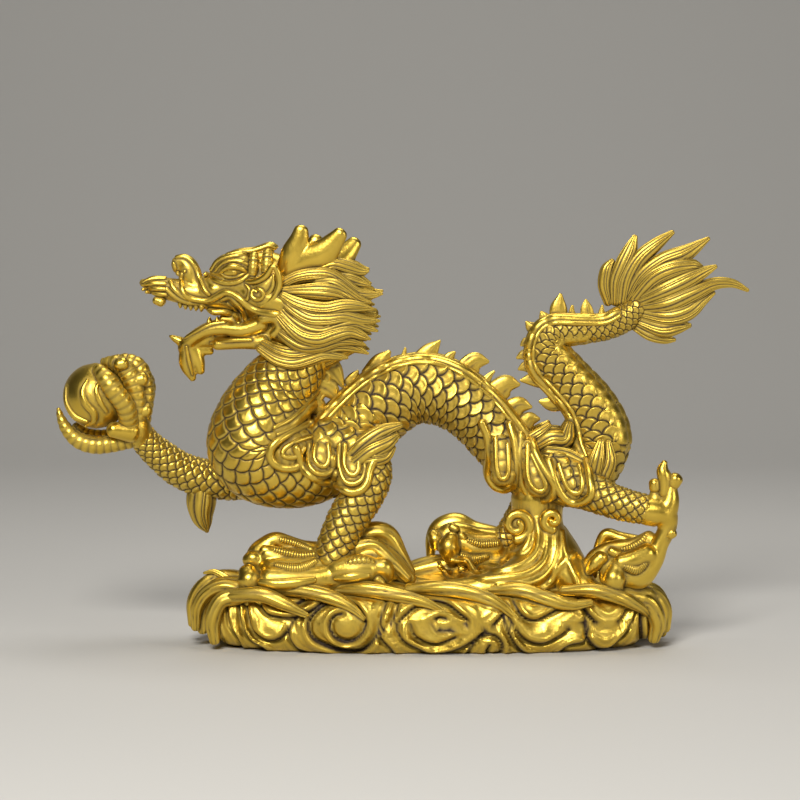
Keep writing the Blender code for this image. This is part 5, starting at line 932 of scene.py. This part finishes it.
base = {
    "length": 144,
    "depth": 53,
    "height": 18,
    "ringPoints": 600,
    "levels": 92,
    "bulge": 2.2,     # how far the clouds swell out between their grooves
    "reach": 2.6,     # how wide the swelling's shoulder is
    "fold": 0.45,     # how much one cloud lies over the next
    "ridgeGap": 2.3,  # between the ridges that follow a groove
    "crown": 0.8,
    "lip": 0.22,
    "ridge": 0.15,
    "topSwell": 1.4,
    # how square the base is: from the front, in plan and up its wall
    "outwardPower": 0.38,
    "lengthPower": 0.86,
    "depthPower": 0.62,
    "levelPower": 0.55,
    "leanAtTop": 0.05,
    "leanAtFoot": 0.04,
    "endWrap": 14,    # how much longer the wall's drawing is where it turns round an end
    "grooves": [
        [(-13, 19), (-16, 12), (-17.4, 7), (-22, 2.6), (-28, 2.1), (-34, 3.8), (-38.2, 6), (-39.6, 9.6),
         (-37, 13.2), (-32, 15.8), (-27, 16), (-23, 14), (-21, 11), (-21.6, 8), (-24.4, 5.6), (-28, 5),
         (-31.4, 6.6), (-32.8, 9.6), (-31.2, 12), (-28.6, 12.6)],
        [(-42, 12.4), (-45, 9.4), (-45.6, 6), (-43, 2.6), (-38.6, 0.4)],
        [(-57.4, 18), (-53.4, 12.6), (-49, 11.4), (-44, 11.4), (-38, 13.6), (-33, 16.8)],
        [(-60.4, 17), (-58.2, 9), (-56, 6.4), (-52, 4.8), (-48, 6), (-44.6, 9.6)],
        [(-63, 17.6), (-62, 10), (-58.4, 4.6), (-53.6, 1.8), (-52, -2)],
        [(-68, 16), (-66.6, 9), (-63, 4.6), (-61, -1)],
        [(-74, 14), (-72.6, 7), (-70, 1)],
        [(-80, 14), (-79, 8), (-77, 2)],
        [(-51, 16.4), (-47, 14.2), (-42, 15.4), (-37, 18)],
        [(-11, 19), (-10.8, 15), (-13, 10), (-16.4, 6.6), (-12.4, 2), (-13, -2)],
        [(-11.6, 9.2), (-9, 12), (-5, 14.7), (0, 16), (5, 15.2), (9, 12.8), (11.6, 10.4), (6, 8), (2, 8.2),
         (0.4, 10), (2, 11.8), (4.6, 11.4)],
        [(-11.6, 9.2), (-9, 5.4), (-4, 2.8), (0, 1.2), (6, 2), (12, 4.6), (17, 8), (21, 10.8), (23, 14),
         (20, 19)],
        [(-7, 10), (-5.4, 7), (-1.6, 5), (2.4, 4.6), (8, 6.4)],
        [(11, 0.4), (13, 4), (16, 6.6), (20, 7), (22.6, 4.6), (22, 1.4), (19, 0.3), (17.6, 2), (18.6, 3.9)],
        [(22.6, 13.6), (24, 9), (27, 4), (31, 0.8), (36, -0.8)],
        [(24, 13), (27, 8.4), (31, 5.2), (36, 4.4), (41, 6.4), (45, 8.6), (50, 10.2)],
        [(40, 0), (44, 3.4), (49, 4.6), (50.4, 8)],
        [(49.4, 11), (50, 6), (53, 2.6), (57, 2), (61, 4.6), (64, 7.2), (67, 12), (67, 19)],
        [(46, 18), (50, 12.4), (54, 9.2), (58, 8.8), (62, 11.2), (65, 15)],
        [(26, 16), (29, 12.2), (33, 10.8), (38, 12.6), (44, 15)],
        [(70, 17), (70, 9), (71.4, 4), (76, 0)],
        [(76, 17), (75, 9), (78, 4), (82, 1)],
    ],
    # crests that run from the top down over the edge, in front and behind
    "crests": [
        [(-63, -13, 14.6, 1.8), (-57, -18.5, 17, 2.4), (-50, -21.6, 17.6, 2.4), (-43, -23.4, 15, 2.0),
         (-37, -24.2, 12, 1.0)],
        [(-47, -18, 18.6, 1.6), (-38, -21, 18.8, 2.2), (-30, -22.6, 17.2, 2.3), (-24, -23.8, 14.4, 1.7),
         (-20, -24.4, 11, 0.9)],
        [(-28, -18, 18.8, 1.6), (-19, -21, 19.2, 2.4), (-10, -22.6, 17.6, 2.3), (-2, -23.8, 15.6, 1.7),
         (3, -24.4, 13.4, 0.9)],
        [(-7, -18, 18.8, 1.6), (3, -20.8, 19.4, 2.4), (12, -22.2, 18, 2.4), (20, -23.6, 15, 1.8),
         (25, -24.4, 11, 0.9)],
        [(17, -17.6, 18.6, 1.6), (26, -20.6, 18.8, 2.4), (34, -22.2, 16.4, 2.4), (41, -23, 14.8, 1.8),
         (47, -22.6, 15.4, 1.0)],
        [(39, -17.6, 18.2, 1.6), (48, -19.8, 18.6, 2.2), (56, -19.4, 16.4, 2.2), (62, -16, 13, 1.6),
         (65, -13, 10, 0.9)],
    ],
    "banks": [
        [(-14, 11, 15, 3.0), (-8, 12, 18, 3.8), (-1, 12.5, 20, 4.4), (8, 12, 21, 4.8), (18, 11.5, 21, 5.4),
         (27, 8, 21, 6.5)],
        [(-55, -14, 15, 3.2), (-46, -15, 16.2, 4.2), (-32, -14, 17, 5.2), (-19, -13, 17.6, 5.0),
         (-9, -12, 16.4, 3.8)],
        [(-52, 4, 14, 4), (-40, 4, 15.4, 4.6), (-24, 5, 16, 4.6), (-8, 4, 15.6, 4)],
        [(44, -12, 15, 4.0), (55, -13.5, 16, 4.6), (64, -11, 14.8, 4.0)],
        [(42, 10, 14.6, 4.2), (54, 10, 15.4, 4.6), (63, 8, 14.4, 4.0)],
    ],
    "flameLocks": [
        [(-55, -13, 17, 3.2), (-61.6, -13, 18.8, 2.5), (-66.8, -12, 16.6, 2.3), (-69.8, -11, 12, 2.0),
         (-70.4, -10, 6, 1.4)],
        [(-57, -3, 18.4, 3.5), (-63.4, -3, 20.0, 2.6), (-68.8, -2.6, 17.4, 2.2), (-71.6, -2.2, 12.4, 2.0),
         (-71.8, -2, 6, 1.5)],
        [(-56, 9, 17, 3.2), (-62.6, 9, 18.4, 2.4), (-68, 8.4, 14.6, 2.1), (-70.6, 8, 8, 1.5)],
        [(-60, -5, 19.4, 1.6), (-64.8, -4.6, 22, 1.0), (-68, -4.2, 21.6, 0.5)],
        [(-57, -9, 18.4, 3.0), (-64, -8.6, 18, 2.6), (-68, -8, 12, 2.5), (-68.4, -7.6, 5, 1.8)],
        [(-57, -16.4, 16.4, 2.6), (-62.4, -16.6, 15, 2.4), (-65, -16, 9, 2.4), (-64.4, -15.6, 3, 1.7)],
        [(-57, 3, 18.4, 3.2), (-64.6, 3.4, 18, 2.6), (-69, 3.2, 12, 2.5), (-69.4, 3, 5, 1.8)],
        [(-57, 14, 16.4, 2.6), (-63.4, 14.4, 14.6, 2.4), (-66, 14, 9, 2.4), (-65.4, 13.6, 3, 1.7)],
        [(60, -7, 15, 3.6), (66, -6.6, 15, 3.2), (69.4, -6, 11.2, 2.8), (69.6, -5.6, 5.4, 2.4)],
        [(60, 7.4, 14.6, 3.4), (65.6, 7.2, 14.4, 3.2), (69, 6.8, 9.6, 2.8), (69, 6.4, 4.4, 2.2)],
        [(60, -13, 15, 3.2), (65, -12.8, 13.4, 2.9), (67.4, -12.2, 8, 2.6), (66.4, -11.8, 3, 1.9)],
        [(62, 0, 16, 3.4), (67.4, 0, 14.6, 3.0), (70, 0, 8.6, 2.6), (69.4, 0, 3, 1.9)],
        [(60, 13, 15, 3.2), (65, 12.6, 13, 2.9), (67.2, 12, 7.6, 2.6), (66.2, 11.6, 3, 1.9)],
    ],
    "pillar": [(33.5, -1, 15, 13.0), (33.5, -1, 22, 10.4), (33, -1, 30, 8.2), (32, -1, 37, 7.6),
               (32, -1, 44, 8.0)],
    # slopes that carry the streams, on both sides of the statue
    "slopes": [
        [(0, -14, 17.6, 3.0), (8, -14.6, 17.8, 3.6), (16, -14.6, 18.4, 4.6), (24, -12.6, 19.6, 6.4),
         (30.6, -8, 23, 7.6), (33, -4, 30, 7.2)],
        [(49, -12, 16, 3.4), (44, -11, 19, 5.4), (39, -7, 25, 6.8), (35.6, -4, 31, 6.4)],
    ],
    # streams of cloud that run into the pillar, as the front shows them: x, z, radius
    "streams": [
        [(6, 25.4, 0.7), (11, 24.6, 1.0), (16.2, 24.4, 1.2), (22.6, 25.6, 1.3), (27, 27.4, 1.3),
         (29.2, 30.4, 1.3), (29.8, 34, 1.2), (29.4, 38, 1.0)],
        [(2.5, 23.4, 0.8), (9, 21.8, 1.1), (16, 21.4, 1.2), (22.6, 22.4, 1.3), (28, 24.2, 1.4),
         (31.4, 27.6, 1.4), (32.4, 32, 1.3), (31.8, 37.4, 1.0)],
        [(0, 21.4, 0.9), (8, 20, 1.2), (15, 19.4, 1.3), (22, 20, 1.3), (28.6, 21, 1.4), (33, 24, 1.4),
         (34.8, 28.4, 1.4), (34.8, 34, 1.2), (34.4, 38, 1.0)],
        [(20, 17.6, 1.0), (27, 18, 1.3), (32.4, 19.8, 1.4), (35.6, 23.2, 1.4), (37.2, 28, 1.3),
         (37.4, 33, 1.2), (37, 37, 0.9)],
        [(33, 16.6, 1.1), (36, 18.8, 1.3), (38.4, 22.8, 1.3), (41.4, 26.2, 1.2), (43.4, 27.6, 0.8)],
        [(44.4, 17, 0.9), (43.4, 20, 1.1), (41.4, 24.4, 1.1), (40, 29, 1.0), (39.6, 34, 0.8)],
    ],
    # grooves of the top, in plan: x, y
    "topGrooves": [
        [(-62, -4), (-56, -9), (-49, -6), (-44, 0), (-36, 3), (-27, 0), (-18, -4), (-10, -2), (-4, 4),
         (4, 6), (14, 2), (22, -3)],
        [(-60, 8), (-52, 5), (-44, 9), (-36, 14), (-27, 13), (-20, 8), (-12, 9), (-4, 14), (6, 15),
         (16, 11)],
        [(-56, -16), (-48, -18), (-38, -14), (-28, -11), (-18, -14), (-8, -18), (2, -17), (10, -12)],
        [(-52, 1), (-47, 3), (-46, -2), (-51, -4), (-57, -1), (-58, 4), (-54, 9)],
        [(-14, 3), (-10, 6), (-7, 2), (-10, -2), (-15, 0), (-17, 5)],
        [(46, -14), (52, -9), (60, -8), (65, -12)],
        [(44, 2), (51, 4), (57, 0), (63, 2), (67, 6)],
        [(42, 13), (50, 11), (57, 15), (63, 13)],
    ],
    # scrolls of the pillar: x, y, z, radius, turns and the way they wind
    "curls": [(25.5, -8.4, 36.8, 4.6, 1.4, 1), (36.2, -9.4, 38.4, 3.0, 1.2, -1),
              (26.6, 8.4, 37.4, 4.2, 1.4, 1)],
}


def grooveDistances(points, grooves):
    # how far each point is from the nearest groove, on which side of it, and how near the groove's end is
    samples, headings, ends = [], [], []
    for groove in grooves:
        row = smoothRow(groove, 12)
        heading = np.gradient(row, axis=0)
        samples.append(row)
        headings.append(heading / (np.linalg.norm(heading, axis=1)[:, None] + 1e-9))
        count = np.arange(len(row))
        ends.append(np.clip(np.minimum(count, count[::-1]) / 14, 0, 1))
    samples, headings, ends = np.concatenate(samples), np.concatenate(headings), np.concatenate(ends)
    tree = KDTree(len(samples))
    for index, (x, z) in enumerate(samples):
        tree.insert((x, z, 0), index)
    tree.balance()
    nearest = np.array([tree.find((x, z, 0))[1] for x, z in points])
    apart = points - samples[nearest]
    over = headings[nearest, 0] * apart[:, 1] - headings[nearest, 1] * apart[:, 0]
    gap = np.where(ends[nearest] > 0, np.abs(over), np.linalg.norm(apart, axis=1))
    return gap, np.sign(over) * ends[nearest]


def foldedClouds(x, z, grooves):
    # the swelling of clouds that lie over one another, and the brown wash with painted shade in their
    # grooves
    gap, side = grooveDistances(np.stack([x.reshape(-1), z.reshape(-1)], 1), grooves)
    gap, side = gap.reshape(x.shape), side.reshape(x.shape)
    crown = 1 - (1 - np.clip(gap / base["reach"], 0, 1)) ** 2
    lip = np.exp(-((gap - 1.2) / 0.6) ** 2) * base["lip"] * np.clip(side, 0, 1)
    fold = np.exp(-gap / 2.6) * side * base["fold"]
    ridges = np.cos(gap * math.tau / base["ridgeGap"]) * np.exp(-gap / 3.5) * np.clip(gap / 0.8, 0, 1)
    dark = np.exp(-(gap / 0.6) ** 2) + 0.3 * np.exp(-((gap - base["ridgeGap"]) / 0.5) ** 2)
    return crown * base["crown"] + lip + fold - ridges * base["ridge"], dark


def carveBase():
    turns, levels = base["ringPoints"], base["levels"]
    rise = np.sin(np.linspace(-math.pi / 2, math.pi / 2, levels + 2)[1:-1])
    ring, height = np.meshgrid(np.arange(turns) / turns * math.tau, rise)
    outward = np.sqrt(1 - height**2) ** base["outwardPower"]
    flatX = np.sign(np.cos(ring)) * np.abs(np.cos(ring)) ** base["lengthPower"]
    flatY = np.sign(np.sin(ring)) * np.abs(np.sin(ring)) ** base["depthPower"]
    lean = 1 - base["leanAtTop"] * np.maximum(height, 0) ** 2 - base["leanAtFoot"] * np.maximum(-height, 0)
    x, y = flatX * outward * lean, flatY * outward * lean
    z = np.sign(height) * np.abs(height) ** base["levelPower"]
    halfLength = base["length"] / 2
    beyond = np.maximum(np.abs(x) - 0.8, 0) / 0.2 * (1 - np.abs(y)) * 0.5
    unrolled = x * halfLength + np.sign(x) * base["endWrap"] * beyond
    wallSwell, wallDark = foldedClouds(unrolled, (z + 1) * base["height"] / 2, base["grooves"])
    topSwell, topDark = foldedClouds(x * halfLength, y * 26, base["topGrooves"])
    wall = np.clip((1.02 - np.abs(height)) * 2.4, 0, 1)
    top = np.clip((height - 0.94) * 25, 0, 1)
    puff = wallSwell * wall * base["bulge"] + topSwell * top * base["topSwell"]
    out = np.stack([x * 0.25, y, z * 0.15], -1)
    out /= np.linalg.norm(out, axis=-1)[..., None] + 1e-9
    out = out * (1 - top[..., None]) + np.array([0, 0, 1.0]) * top[..., None]
    swell = 1 - base["bulge"] / (base["depth"] / 2)
    places = np.stack([x * halfLength * swell, y * base["depth"] / 2 * swell,
                       base["height"] * (0.46 + 0.54 * z)], -1) + out * puff[..., None]
    places[..., 2] = np.maximum(places[..., 2], 0)
    # the wall's and the top's grooves carry the brown wash with painted shade
    dark = np.maximum(wallDark * wall, topDark * top)
    flatPlaces = np.concatenate([places.reshape(-1, 3), [(0, 0, 0), (0, 0, base["height"] + 1)]])
    faces = [face[::-1] for face in gridFaces(levels, turns)]
    pieces["cloud_base"] = [{"places": flatPlaces, "faces": faces, "flat": 1.0,
                             "dark": np.concatenate([dark.reshape(-1), [0, 0]]),
                             "core": np.zeros((0, 3)), "radii": np.zeros(0)}]
    behind = [mirrored(form) for form in base["crests"]]
    for index, form in enumerate(base["banks"] + base["crests"] + behind):
        addTube("clouds", form, step=1.1, around=34, relief=flow(6, 0.5, index))
    for index, form in enumerate(base["flameLocks"]):
        addTube("clouds", form, step=0.9, around=30, relief=flow(6, 0.5, index * 2))
    slopes = [tube(base["pillar"], step=0.8, around=60)]
    for form in base["slopes"]:
        slopes += [tube(form, step=0.8, around=40), tube(mirrored(form), step=0.8, around=40)]
    tree = treeOfShells(slopes)
    for stream in base["streams"]:
        row = laidOn(tree, stream, -0.15)
        slopes += [tube(row, step=0.6, around=16), tube(mirrored(row), step=0.6, around=16)]
    pieces["clouds"].append(fused(slopes, grain=0.42, softness=2, most=38000))
    for x, y, z, radius, turnsRound, winding in base["curls"]:
        rows = []
        for step in range(29):
            part = step / 28
            angle = winding * part * turnsRound * math.tau
            reach = radius * (1 - 0.8 * part)
            rows.append((x + reach * math.sin(angle), y - 1.2 * part, z - reach * math.cos(angle),
                         1.7 - 0.8 * part))
        addTube("clouds", rows, step=0.6, around=14)
        hub = [(base["pillar"][-1][0], 0, z, radius * 0.9), (x, y * 0.78, z, radius * 0.72)]
        addTube("clouds", hub, step=0.8, around=24)
    print("base carved")


paint = {
    "gold": (0.66, 0.42, 0.045),
    "paleGold": (0.84, 0.62, 0.115),
    "washAndShade": (0.022, 0.009, 0.002),   # brown wash left in the grooves, and the painted shade of hollows, creases and scale roots
    "roughness": 0.33,
    "worn": 0.14,                    # how much the roughness varies
    "grain": 0.00006,                # height of the paint's grain, in metres
    "cloudScale": 130.0,
    "grainScale": 1300.0,
    "washAndShadeGrain": 0.5,                # how much the grain breaks up the wash and painted shade
    "washAndShadeRough": 0.4,                # how much duller the wash and painted shade are
}


class Value:
    # a socket that takes part in sums, each of which adds its Math node
    def __init__(self, tree, socket):
        self.tree = tree
        self.socket = socket

    def combine(self, operation, first, second):
        return node(self.tree, "ShaderNodeMath", {"operation": operation}, {0: first, 1: second})

    def __add__(self, other):
        return self.combine("ADD", self, other)

    __radd__ = __add__

    def __mul__(self, other):
        return self.combine("MULTIPLY", self, other)

    __rmul__ = __mul__

    def __sub__(self, other):
        return self.combine("SUBTRACT", self, other)

    def __rsub__(self, other):
        return self.combine("SUBTRACT", other, self)

    def limited(self):
        return node(self.tree, "ShaderNodeMath", {"operation": "ADD", "use_clamp": True}, {0: self, 1: 0.0})


def node(tree, kind, settings=None, sockets=None, out=0):
    # adds a node: first its settings, then the values or links of its sockets
    made = tree.nodes.new(kind)
    for name, setting in (settings or {}).items():
        setattr(made, name, setting)
    for name, value in (sockets or {}).items():
        if isinstance(value, Value):
            tree.links.new(value.socket, made.inputs[name])
        else:
            made.inputs[name].default_value = value
    return Value(tree, made.outputs[out]) if len(made.outputs) else made


def mixed(tree, factor, first, second):
    return node(tree, "ShaderNodeMix", {"data_type": "RGBA"}, {0: factor, 6: first, 7: second}, out=2)


def giltPaint():
    material = bpy.data.materials.new("gilt_paint")
    material.use_nodes = True
    tree = material.node_tree
    tree.nodes.clear()
    place = node(tree, "ShaderNodeTexCoord", out=3)
    hollow = node(tree, "ShaderNodeAttribute", {"attribute_name": "hollow"}, out=2)
    cloudy = node(tree, "ShaderNodeTexNoise", None,
                  {"Vector": place, "Scale": paint["cloudScale"], "Detail": 3.0})
    grain = node(tree, "ShaderNodeTexNoise", None,
                 {"Vector": place, "Scale": paint["grainScale"], "Detail": 3.0})
    # hollow brings the brown wash and the painted shade of grooves, creases, hollows and scale roots; the
    # grain breaks both up
    washAndShade = (hollow * (0.85 + grain * paint["washAndShadeGrain"])).limited()
    gold = mixed(tree, cloudy, (*paint["gold"], 1), (*paint["paleGold"], 1))
    colour = mixed(tree, washAndShade, gold, (*paint["washAndShade"], 1))
    rough = paint["roughness"] + (cloudy - 0.5) * paint["worn"] + washAndShade * paint["washAndShadeRough"]
    bump = node(tree, "ShaderNodeBump", None, {"Strength": 1.0, "Distance": paint["grain"],
                                               "Height": grain})
    shader = node(tree, "ShaderNodeBsdfPrincipled", None,
                  {"Base Color": colour, "Metallic": 1 - washAndShade, "Roughness": rough.limited(),
                   "Normal": bump})
    node(tree, "ShaderNodeOutputMaterial", None, {"Surface": shader})
    return material


def triangles(faces):
    return np.array([corners for face in faces for corners in
                     ((face[0], face[1], face[2]), (face[0], face[2], face[-1]))[:len(face) - 2]])


def normalsOf(places, corners):
    crossed = np.cross(places[corners[:, 1]] - places[corners[:, 0]],
                       places[corners[:, 2]] - places[corners[:, 0]])
    found = np.zeros_like(places)
    for k in range(3):
        for axis in range(3):
            found[:, axis] += np.bincount(corners[:, k], crossed[:, axis], len(places))
    return found / (np.linalg.norm(found, axis=1)[:, None] + 1e-12)


def hollows(places, corners, normals):
    # how much each point of a melted skin lies in a hollow, which sets the painted shade and brown wash
    # there
    pairs = np.concatenate([corners[:, [0, 1]], corners[:, [1, 2]], corners[:, [2, 0]]])
    count = np.bincount(pairs[:, 0], minlength=len(places)) + 1e-9

    def around(values):
        return np.bincount(pairs[:, 0], values[pairs[:, 1]], len(places)) / count

    middle = np.stack([around(places[:, axis]) for axis in range(3)], 1) - places
    length = np.linalg.norm(places[pairs[:, 1]] - places[pairs[:, 0]], axis=1)
    span = np.bincount(pairs[:, 0], length, len(places)) / count + 1e-9
    depth = (middle * normals).sum(1) / span
    for step in range(3):
        depth = (depth + around(depth)) / 2
    return np.clip((depth - 0.04) * 7, 0, 1)


creases = {
    "reach": 1.1,
    "strength": 0.9,
    # painted contact shadow where the forms stand on the base: height of its top, reach, half its length,
    # and how dark
    "deck": 18.2,
    "deckReach": 0.9,
    "deckEnd": 66,
    "deckShade": 0.7,
}


def darkenCreases():
    # painted shade, with the brown wash, darkens the skin where two forms meet
    shells = [(name, shell) for name in pieces for shell in pieces[name]]
    cores = np.concatenate([shell["core"] for name, shell in shells])
    radii = np.concatenate([shell["radii"] for name, shell in shells])
    flats = np.concatenate([np.full(len(shell["radii"]), shell["flat"]) for name, shell in shells])
    owners = np.concatenate([np.full(len(shell["radii"]), index) for index,
                             (name, shell) in enumerate(shells)])
    for index, (name, shell) in enumerate(shells):
        places = shell["places"]
        corners = triangles(shell["faces"])
        normals = normalsOf(places, corners)
        # melted skins get painted shade, with the brown wash, in their own hollows
        if shell.get("melted"):
            shell["dark"] = np.maximum(shell["dark"], hollows(places, corners, normals))
        low, high = places.min(0) - creases["reach"], places.max(0) + creases["reach"]
        near = (owners != index) & ((cores > low - radii[:, None]) & (cores < high + radii[:, None])).all(1)
        crease = np.zeros(len(places))
        if near.any():
            core, radius, flat = [values[near].astype(np.float32) for values in (cores, radii, flats)]
            for start in range(0, len(places), 4000):
                some = places[start:start + 4000].astype(np.float32)
                apart = some[:, None] - core
                apart[..., 1] /= flat
                gap = np.sqrt((apart**2).sum(-1)) - radius
                best = gap.argmin(1)
                rows = np.arange(len(some))
                away = apart[rows, best]
                away /= np.linalg.norm(away, axis=1)[:, None] + 1e-9
                facing = (away * normals[start:start + 4000]).sum(1)
                close = np.clip(1 - np.abs(gap[rows, best]) / creases["reach"], 0, 1)
                crease[start:start + 4000] = close**1.5 * np.clip((0.8 - facing) / 0.6, 0, 1)
        # painted contact shadow on the forms just where they stand on the base's top
        if name != "cloud_base":
            atDeck = np.clip(1 - np.abs(places[:, 2] - creases["deck"]) / creases["deckReach"], 0, 1)
            inside = np.abs(places[:, 0]) < creases["deckEnd"]
            crease = np.maximum(crease, atDeck * inside * creases["deckShade"])
        shell["dark"] = np.clip(np.maximum(shell["dark"], crease * creases["strength"]), 0, 1)
    print("creases darkened")


def buildPieces(material):
    total = 0
    for name, shells in pieces.items():
        places, faces = joined(shells)
        mesh = bpy.data.meshes.new(name)
        mesh.from_pydata((places * mm).tolist(), [], faces)
        # the hollow attribute carries the brown wash and the painted shade of grooves, creases and scale
        # roots
        shade = np.concatenate([shell["dark"] for shell in shells])
        mesh.attributes.new("hollow", "FLOAT", "POINT").data.foreach_set("value", shade)
        mesh.shade_smooth()
        mesh.materials.append(material)
        piece = bpy.data.objects.new(name, mesh)
        bpy.context.scene.collection.objects.link(piece)
        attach(piece, "root")
        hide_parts("dragon_statue")
        count = sum(len(face) - 2 for face in faces)
        total += count
        print(name, count, "triangles")
    print("all pieces", total, "triangles")


studio = {
    "floor": (0.5, 0.49, 0.47),
    # the floor, in metres: front end, half its width, where it bends up, the bend's radius, top of the wall
    "front": -8,
    "side": 6,
    "bend": 0.5,
    "curve": 0.5,
    "wall": 2.5,
    "air": 0.035,
    # softboxes: name, place and aim in metres, size in metres, power in watts, colour
    "lights": [
        ("key", (-0.2, -0.8, 0.62), (0, 0, 0.06), 0.32, 10.5, (1.0, 0.98, 0.93)),
        ("fill", (0.7, -0.55, 0.3), (0, 0, 0.06), 0.3, 1.7, (1.0, 0.97, 0.92)),
        ("top", (0.05, 0.15, 0.8), (0, 0, 0.06), 0.45, 3.0, (1.0, 0.98, 0.95)),
        ("far", (0.6, -0.9, 1.0), (1.5, -1.8, 0.25), 1.0, 14.0, (1.0, 0.98, 0.95)),
    ],
}


def setStudio():
    scene = bpy.context.scene
    world = bpy.data.worlds.new("studio air")
    world.use_nodes = True
    world.node_tree.nodes["Background"].inputs["Color"].default_value = (studio["air"],) * 3 + (1,)
    world.node_tree.nodes["Background"].inputs["Strength"].default_value = 1.0
    scene.world = world
    scene.view_settings.view_transform = "Standard"
    # a floor that curves up behind the statue into a plain wall
    profile = [(studio["front"], 0), (studio["bend"], 0)]
    bend, curve = studio["bend"], studio["curve"]
    for step in range(1, 17):
        angle = step / 16 * math.pi / 2
        profile.append((bend + curve * math.sin(angle), curve - curve * math.cos(angle)))
    profile.append((bend + curve, studio["wall"]))
    mesh = bpy.data.meshes.new("floor")
    mesh.from_pydata([(side, y, z) for y, z in profile for side in (-studio["side"], studio["side"])], [],
                     [(2 * i, 2 * i + 1, 2 * i + 3, 2 * i + 2) for i in range(len(profile) - 1)])
    mesh.shade_smooth()
    floor = bpy.data.objects.new("floor", mesh)
    scene.collection.objects.link(floor)
    floorPaint = bpy.data.materials.new("floor_paint")
    floorPaint.use_nodes = True
    shader = floorPaint.node_tree.nodes["Principled BSDF"]
    shader.inputs["Base Color"].default_value = (*studio["floor"], 1)
    shader.inputs["Roughness"].default_value = 0.7
    floor.data.materials.append(floorPaint)
    for name, place, aim, size, power, colour in studio["lights"]:
        light = bpy.data.lights.new(name, "AREA")
        light.size = size
        light.energy = power
        light.color = colour
        lamp = bpy.data.objects.new(name, light)
        lamp.location = place
        lamp.rotation_euler = (Vector(aim) - Vector(place)).to_track_quat("-Z", "Y").to_euler()
        scene.collection.objects.link(lamp)
    tilt = math.radians(view["elevation"])
    target = Vector(view["target"]) * mm
    away = Vector((0, -math.cos(tilt), math.sin(tilt))) * view["distance"] * mm
    lens = bpy.data.cameras.new("camera")
    lens.lens = view["lens"]
    lens.sensor_width = 36
    camera = bpy.data.objects.new("camera", lens)
    camera.location = target + away
    camera.rotation_euler = (-away).to_track_quat("-Z", "Y").to_euler()
    scene.collection.objects.link(camera)
    scene.camera = camera
    print("studio set")


carveBody()
carveCrest()
carveLegs()
carveFeet()
carveFlaps()
carveHead()
carveMane()
carveTailTuft()
carvePearl()
carveBase()
darkenCreases()
buildPieces(giltPaint())
setStudio()
